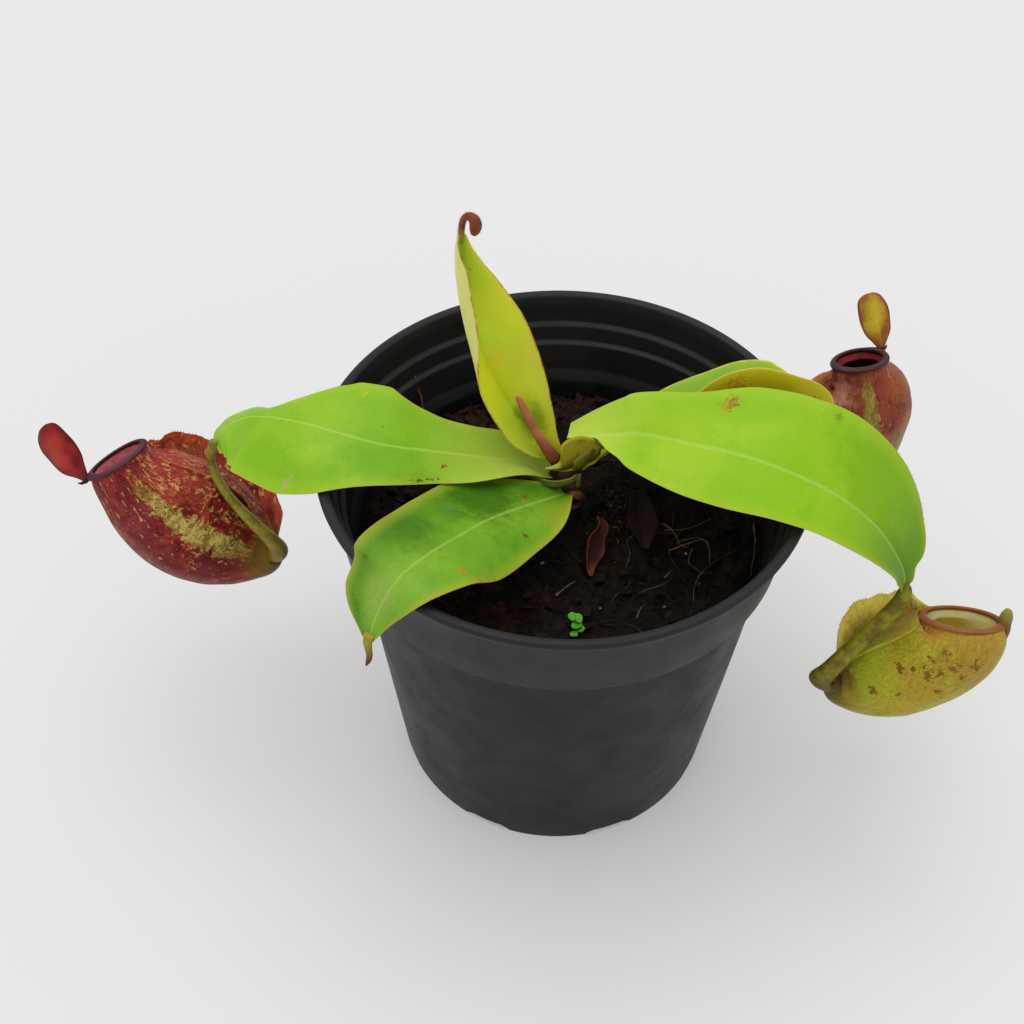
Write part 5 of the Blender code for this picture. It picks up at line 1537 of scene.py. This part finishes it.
def makeLid(label, spec, frames):
    p, t, n, s, r = frames[-1]
    plan = lidPlans[label]
    way, face = unit(plan["way"]), np.asarray(plan["face"], float)
    face = unit(face - (face @ way) * way)
    length, half = plan["size"]
    start = p - (r + 1.4) * n + 0.8 * t + plan["shift"]
    rows = []
    for v, wide, bow in (
            (-0.07, 0.22, -0.4), (0.0, 0.26, 0.0), (0.12, 0.50, 0.4), (0.28, 0.84, 0.9), (0.5, 1.0, 1.2),
            (0.72, 0.97, 1.0), (0.88, 0.84, 0.5), (0.96, 0.62, 0.2), (1.0, 0.3, 0.0)):
        at = start + way * length * v + face * bow
        rows.append((*at, wide * half, wide * half, -8, -8, -12, -12))
    lid = spec["lid"]
    look = dict(
        youngGreens, green=lid["mid"], bright=lid["mid"], deep=lid["deep"], base=lid["edge"],
        baseRun=(0.0, 0.25), baseShare=0.9, tip=lid["deep"], tipRun=(0.8, 1.0), tipShare=0.5,
        side=lid["mid"], under=lid["under"], edge=lid["edge"], edgeShare=1.0, margin=0.93, glow=lid["deep"],
        marginGlow=0.8, ribTint=lid["zone"], ribShare=0.12, vein=lid["deep"], veinShare=0.35, length=length,
        half=half, roughness=0.34, specular=0.2, relief=0.12, mottle=0.9, spots=[],
        zones=[
            ((0.45, -0.25), 4.0, lid["zone"], 0.8), ((0.72, 0.1), 4.5, lid["zone"], 0.75),
            ((0.3, 0.45), 2.6, lid["deep"], 0.7)])
    smallBlade(
        f"lid{label}", rows, face, look, spec["slots"][2], f"lid_{spec['node']}", seed=6, flutter=0.15)
    if label != "Right":
        spur = [
            (*(start + 0.3 * n - 0.6 * t), 0.75), (*(start - 0.8 * n - 0.8 * t), 0.5),
            (*(start - 1.6 * n - 0.6 * t), 0.35), (*(start - 2.2 * n), 0.12)]
        finish = strandFinish(f"spur{label}Skin", spec["rim"], spec["rimLight"])
        dress(tubePiece(f"spur{label}", spur, 16, 10, finish), spec["slots"][2])
    else:  # the folded neck of the lid
        foot = p - (r + 0.2) * n - 0.6 * t
        neck = [
            (*(foot - 3.0 * t), 1.0), (*(foot - 0.6 * t), 1.7), (*(foot + 1.6 * t), 1.8),
            (*(foot + 3.6 * t - 0.3 * n), 1.7), (*(foot + 5.0 * t - 0.3 * n), 1.3),
            (*(foot + 5.7 * t), 0.5)]
        finish = stemFinish(
            "lidNeckSkin",
            dict(oliveStem, low="5c3a18", high="7c5422", end="94923a", endRun=(0.45, 0.9), endShare=0.8))
        dress(tubePiece("lidNeck", neck, 24, 16, finish), spec["slots"][2])


def makeTendril(label, spec):
    plan = spec["tendril"]
    finish = stemFinish(
        f"tendril{label}Skin",
        dict(
            low=plan["low"], high=plan["high"], end=plan["end"], endRun=(0.6, 0.92), endShare=0.85,
            freckle="4f2a14", freckles=0.6))
    dress(
        tubePiece(f"tendril{label}", plan["rows"], 120, 24, finish, flat=plan["flat"], up=plan["up"]),
        "stem_olive", f"tendril_{spec['node']}")


for label, spec in pitchers.items():
    stage("pitcher " + label.lower())
    frames = makeCup(label, spec)
    makeWings(label, spec, frames)
    makeRim(label, spec, frames)
    makeLid(label, spec, frames)
    makeTendril(label, spec)

# withered leaves, seedling
dryLeaves = {
    "dryLeafA": dict(
        spots=[
            (10.2, -2.6, 4.6), (10.4, -6.0, 3.6), (8.6, -9.8, 2.6), (7.6, -13.6, 2.2), (8.0, -16.8, 1.6),
            (8.6, -18.8, 1.0)],
        half=(0.9, 2.4, 3.6, 3.8, 1.4, 0.22), lift=(10, 46), curl=66, node="dry_leaf_a",
        tone=("301710", "8a4628", "20100c"), waves=(0.35, 2.3, 0.2, 1.3)),
    "dryLeafB": dict(
        spots=[
            (20.4, 10.0, 3.2), (20.8, 5.0, 2.8), (21.4, 0.0, 2.4), (22.0, -5.0, 2.2), (22.8, -10.0, 1.6)],
        half=(1.6, 4.2, 5.0, 4.2, 1.0), lift=(22, 30), curl=20, node="dry_leaf_b",
        tone=("241510", "3a2318", "160f0c"), waves=(0.3, 1.9, 0.2, 1.2))}


def makeDryLeaf(name, plan, seed):
    rows = []
    for (x, y, high), w in zip(plan["spots"], plan["half"]):
        rows.append((x, y, float(soilHeight(x, y)) + high, w, w * 0.9, *plan["lift"], 16, plan["curl"]))
    # the light tone, laid over one half of the blade, is a painted highlight on the half turned to the
    # light
    mid, light, dark = plan["tone"]
    look = dict(
        youngGreens, green=mid, bright=light, deep=dark, base=dark, tip=light, side=light, sideSign=1.0,
        sideShare=0.8, under=dark, edge=light, glow=light, ribTint=mid, ribShare=0.4, vein=dark,
        veinShare=0.6, mottle=0.8, roughness=0.7, specular=0.2, relief=0.5, length=20.0, half=4.0)
    smallBlade(
        name, rows, (0, 0, 1), look, "dead_brown", plan["node"], stations=60, waves=plan["waves"],
        seed=seed, flutter=0.6)


seedling = {
    "at": (4.7, -38.0),
    "leaflets": [
        (-0.8, 2.3, 3.4, 1.15), (0.6, 2.6, 2.6, 1.2), (0.3, 0.4, 2.4, 1.35), (1.3, -0.3, 1.8, 1.1),
        (-0.3, -1.5, 1.2, 1.0), (0.9, 1.3, 3.6, 0.9)]}


def makeSeedling():
    x, y = seedling["at"]
    foot = float(soilHeight(x, y))
    look = dict(
        youngGreens, green="3f9a28", bright="62bc3c", deep="2a7a1c", base="3a8a24", tip="62bc3c",
        side="4aa830", under="3a8a28", edge="5ab03a", edgeShare=0.2, length=2.4, half=1.0, relief=0.03,
        ribShare=0.1, veinShare=0.0)
    finish = leafFinish("seedlingSkin", look)
    stalk = spline(
        [(x, y, foot - 0.4, 0.26), (x, y + 0.6, foot + 1.4, 0.2), (x, y + 1.4, foot + 3.0, 0.16)], 12)
    parts = [loft("stalk", tubeRings(stalk[:, :3], stalk[:, 3], 8), finish)]
    for k, (dx, dy, rise, size) in enumerate(seedling["leaflets"]):
        a = math.atan2(dy - 0.6, dx) + 0.3 * k
        step = np.array([math.cos(a), math.sin(a), 0.25])
        rows = []
        for d, w in ((-1.0, 0.15), (-0.6, 0.75), (0.0, 1.0), (0.6, 0.8), (1.0, 0.25)):
            at = np.array([x + dx, y + dy, foot + rise]) + d * size * step
            rows.append((*at, w * size, w * size, 16, 16, 0, 0))
        rings, fields = bladeRings(
            rows, 14, (0.0, 1, 0, 0), (0, 0, 1), smallShares, crease=0.05, flutter=0.0)
        centre = rings.mean(axis=1, keepdims=True)
        parts.append(loft(f"leaflet{k}", centre + (rings - centre) * (1, 1, 0.6), finish, 60, fields))
    with bpy.context.temp_override(
            active_object=parts[0], selected_editable_objects=parts, selected_objects=parts):
        bpy.ops.object.join()
    parts[0].name = "seedling3"
    dress(parts[0], "leaf_green", "seedling")


stage("withered leaves and seedling")
for k, (name, plan) in enumerate(dryLeaves.items()):
    makeDryLeaf(name, plan, k + 2)
makeSeedling()


# fine hairs on the margins of the right and young leaves
def marginHairs(name, leaf, side, run, finish, slot, **values):
    rings, fields = bladeRings(leaf["rows"], leaf["stations"], leaf["waves"], leaf["up"], acrossShares)
    edge = rings[:, 0] if side < 0 else rings[:, len(acrossShares) - 1]
    inner = rings[:, 3] if side < 0 else rings[:, len(acrossShares) - 4]
    first, last = (int(len(edge) * v) for v in run)
    away = edge - inner
    away /= np.linalg.norm(away, axis=1)[:, None]
    made = bristles(name, edge[first:last], (away + 0.3 * tangents(edge))[first:last], finish, **values)
    dress(made, slot)


stage("hairs")
goldHair = strandFinish("goldHairSkin", "8a6a24", "b0923c")
rustHair = strandFinish("rustHairSkin", "8a4a24", "a8683a")
marginHairs(
    "rightLeafHairs", leafRight, -1, (0.30, 0.92), goldHair, "leaf_green", Spacing=1.4, Shortest=0.3,
    Longest=0.9, Root=0.07, Scatter=0.5, Keep=0.55, Seed=5)
for name, side, seed in (("youngLeafHairsA", -1, 6), ("youngLeafHairsB", 1, 7)):
    marginHairs(
        name, leafYoung, side, (0.1, 0.97), rustHair, "leaf_green", Spacing=0.6, Shortest=0.15,
        Longest=0.45, Root=0.06, Scatter=0.5, Keep=0.8, Seed=seed)
for thing in helpers:
    bpy.data.objects.remove(thing)

# floor, light and camera
studio = {
    "floor": 4.0, "floorTint": 0.62, "floorGlow": 0.215, "sky": 0.62, "sun": 1.17, "sunSoft": 58.0,
    "sunTilt": (-0.16, -0.10)}
view = {
    "place": (0.0, -0.27657, 0.39099), "lens": 52.734375, "sensor": 36.0, "turn": 0.04923, "tilt": 0.82679,
    "roll": 0.010727}


def makeStudio():
    half = studio["floor"] / 2
    mesh = bpy.data.meshes.new("floor")
    mesh.from_pydata(
        [(-half, -half, 0), (half, -half, 0), (half, half, 0), (-half, half, 0)], [], [(0, 1, 2, 3)])
    floor = show(bpy.data.objects.new("floor", mesh))
    material, w = newFinish("paleFloor", 0.9, 0.0)
    w.shader.inputs["Base Color"].default_value = (studio["floorTint"],) * 3 + (1.0,)
    w.shader.inputs["Emission Color"].default_value = (1, 1, 1, 1)
    w.shader.inputs["Emission Strength"].default_value = studio["floorGlow"]
    mesh.materials.append(material)
    world = bpy.data.worlds.new("studioSky")
    world.use_nodes = True
    world.node_tree.nodes["Background"].inputs["Color"].default_value = (1, 1, 1, 1)
    world.node_tree.nodes["Background"].inputs["Strength"].default_value = studio["sky"]
    bpy.context.scene.world = world
    sun = bpy.data.lights.new("softKey", "SUN")
    sun.energy = studio["sun"]
    sun.angle = math.radians(studio["sunSoft"])
    lamp = show(bpy.data.objects.new("softKey", sun))
    lamp.rotation_euler = (*studio["sunTilt"], 0)
    bpy.context.scene.view_settings.view_transform = "Standard"


def makeCamera():
    turn, tilt, roll = view["turn"], view["tilt"], view["roll"]
    level = Vector((math.cos(turn), math.sin(turn), 0))
    ahead = Vector((-math.sin(turn), math.cos(turn), 0))
    look = math.cos(tilt) * ahead - math.sin(tilt) * Vector((0, 0, 1))
    rise = math.sin(tilt) * ahead + math.cos(tilt) * Vector((0, 0, 1))
    right = math.cos(roll) * level + math.sin(roll) * rise
    up = math.cos(roll) * rise - math.sin(roll) * level
    lens = bpy.data.cameras.new("camera")
    lens.lens, lens.sensor_width = view["lens"], view["sensor"]
    lens.clip_start = 0.01
    camera = show(bpy.data.objects.new("camera", lens))
    axes = Matrix((right, up, -look)).transposed().to_4x4()
    camera.matrix_world = Matrix.Translation(view["place"]) @ axes
    bpy.context.scene.camera = camera


stage("studio")
makeStudio()
makeCamera()
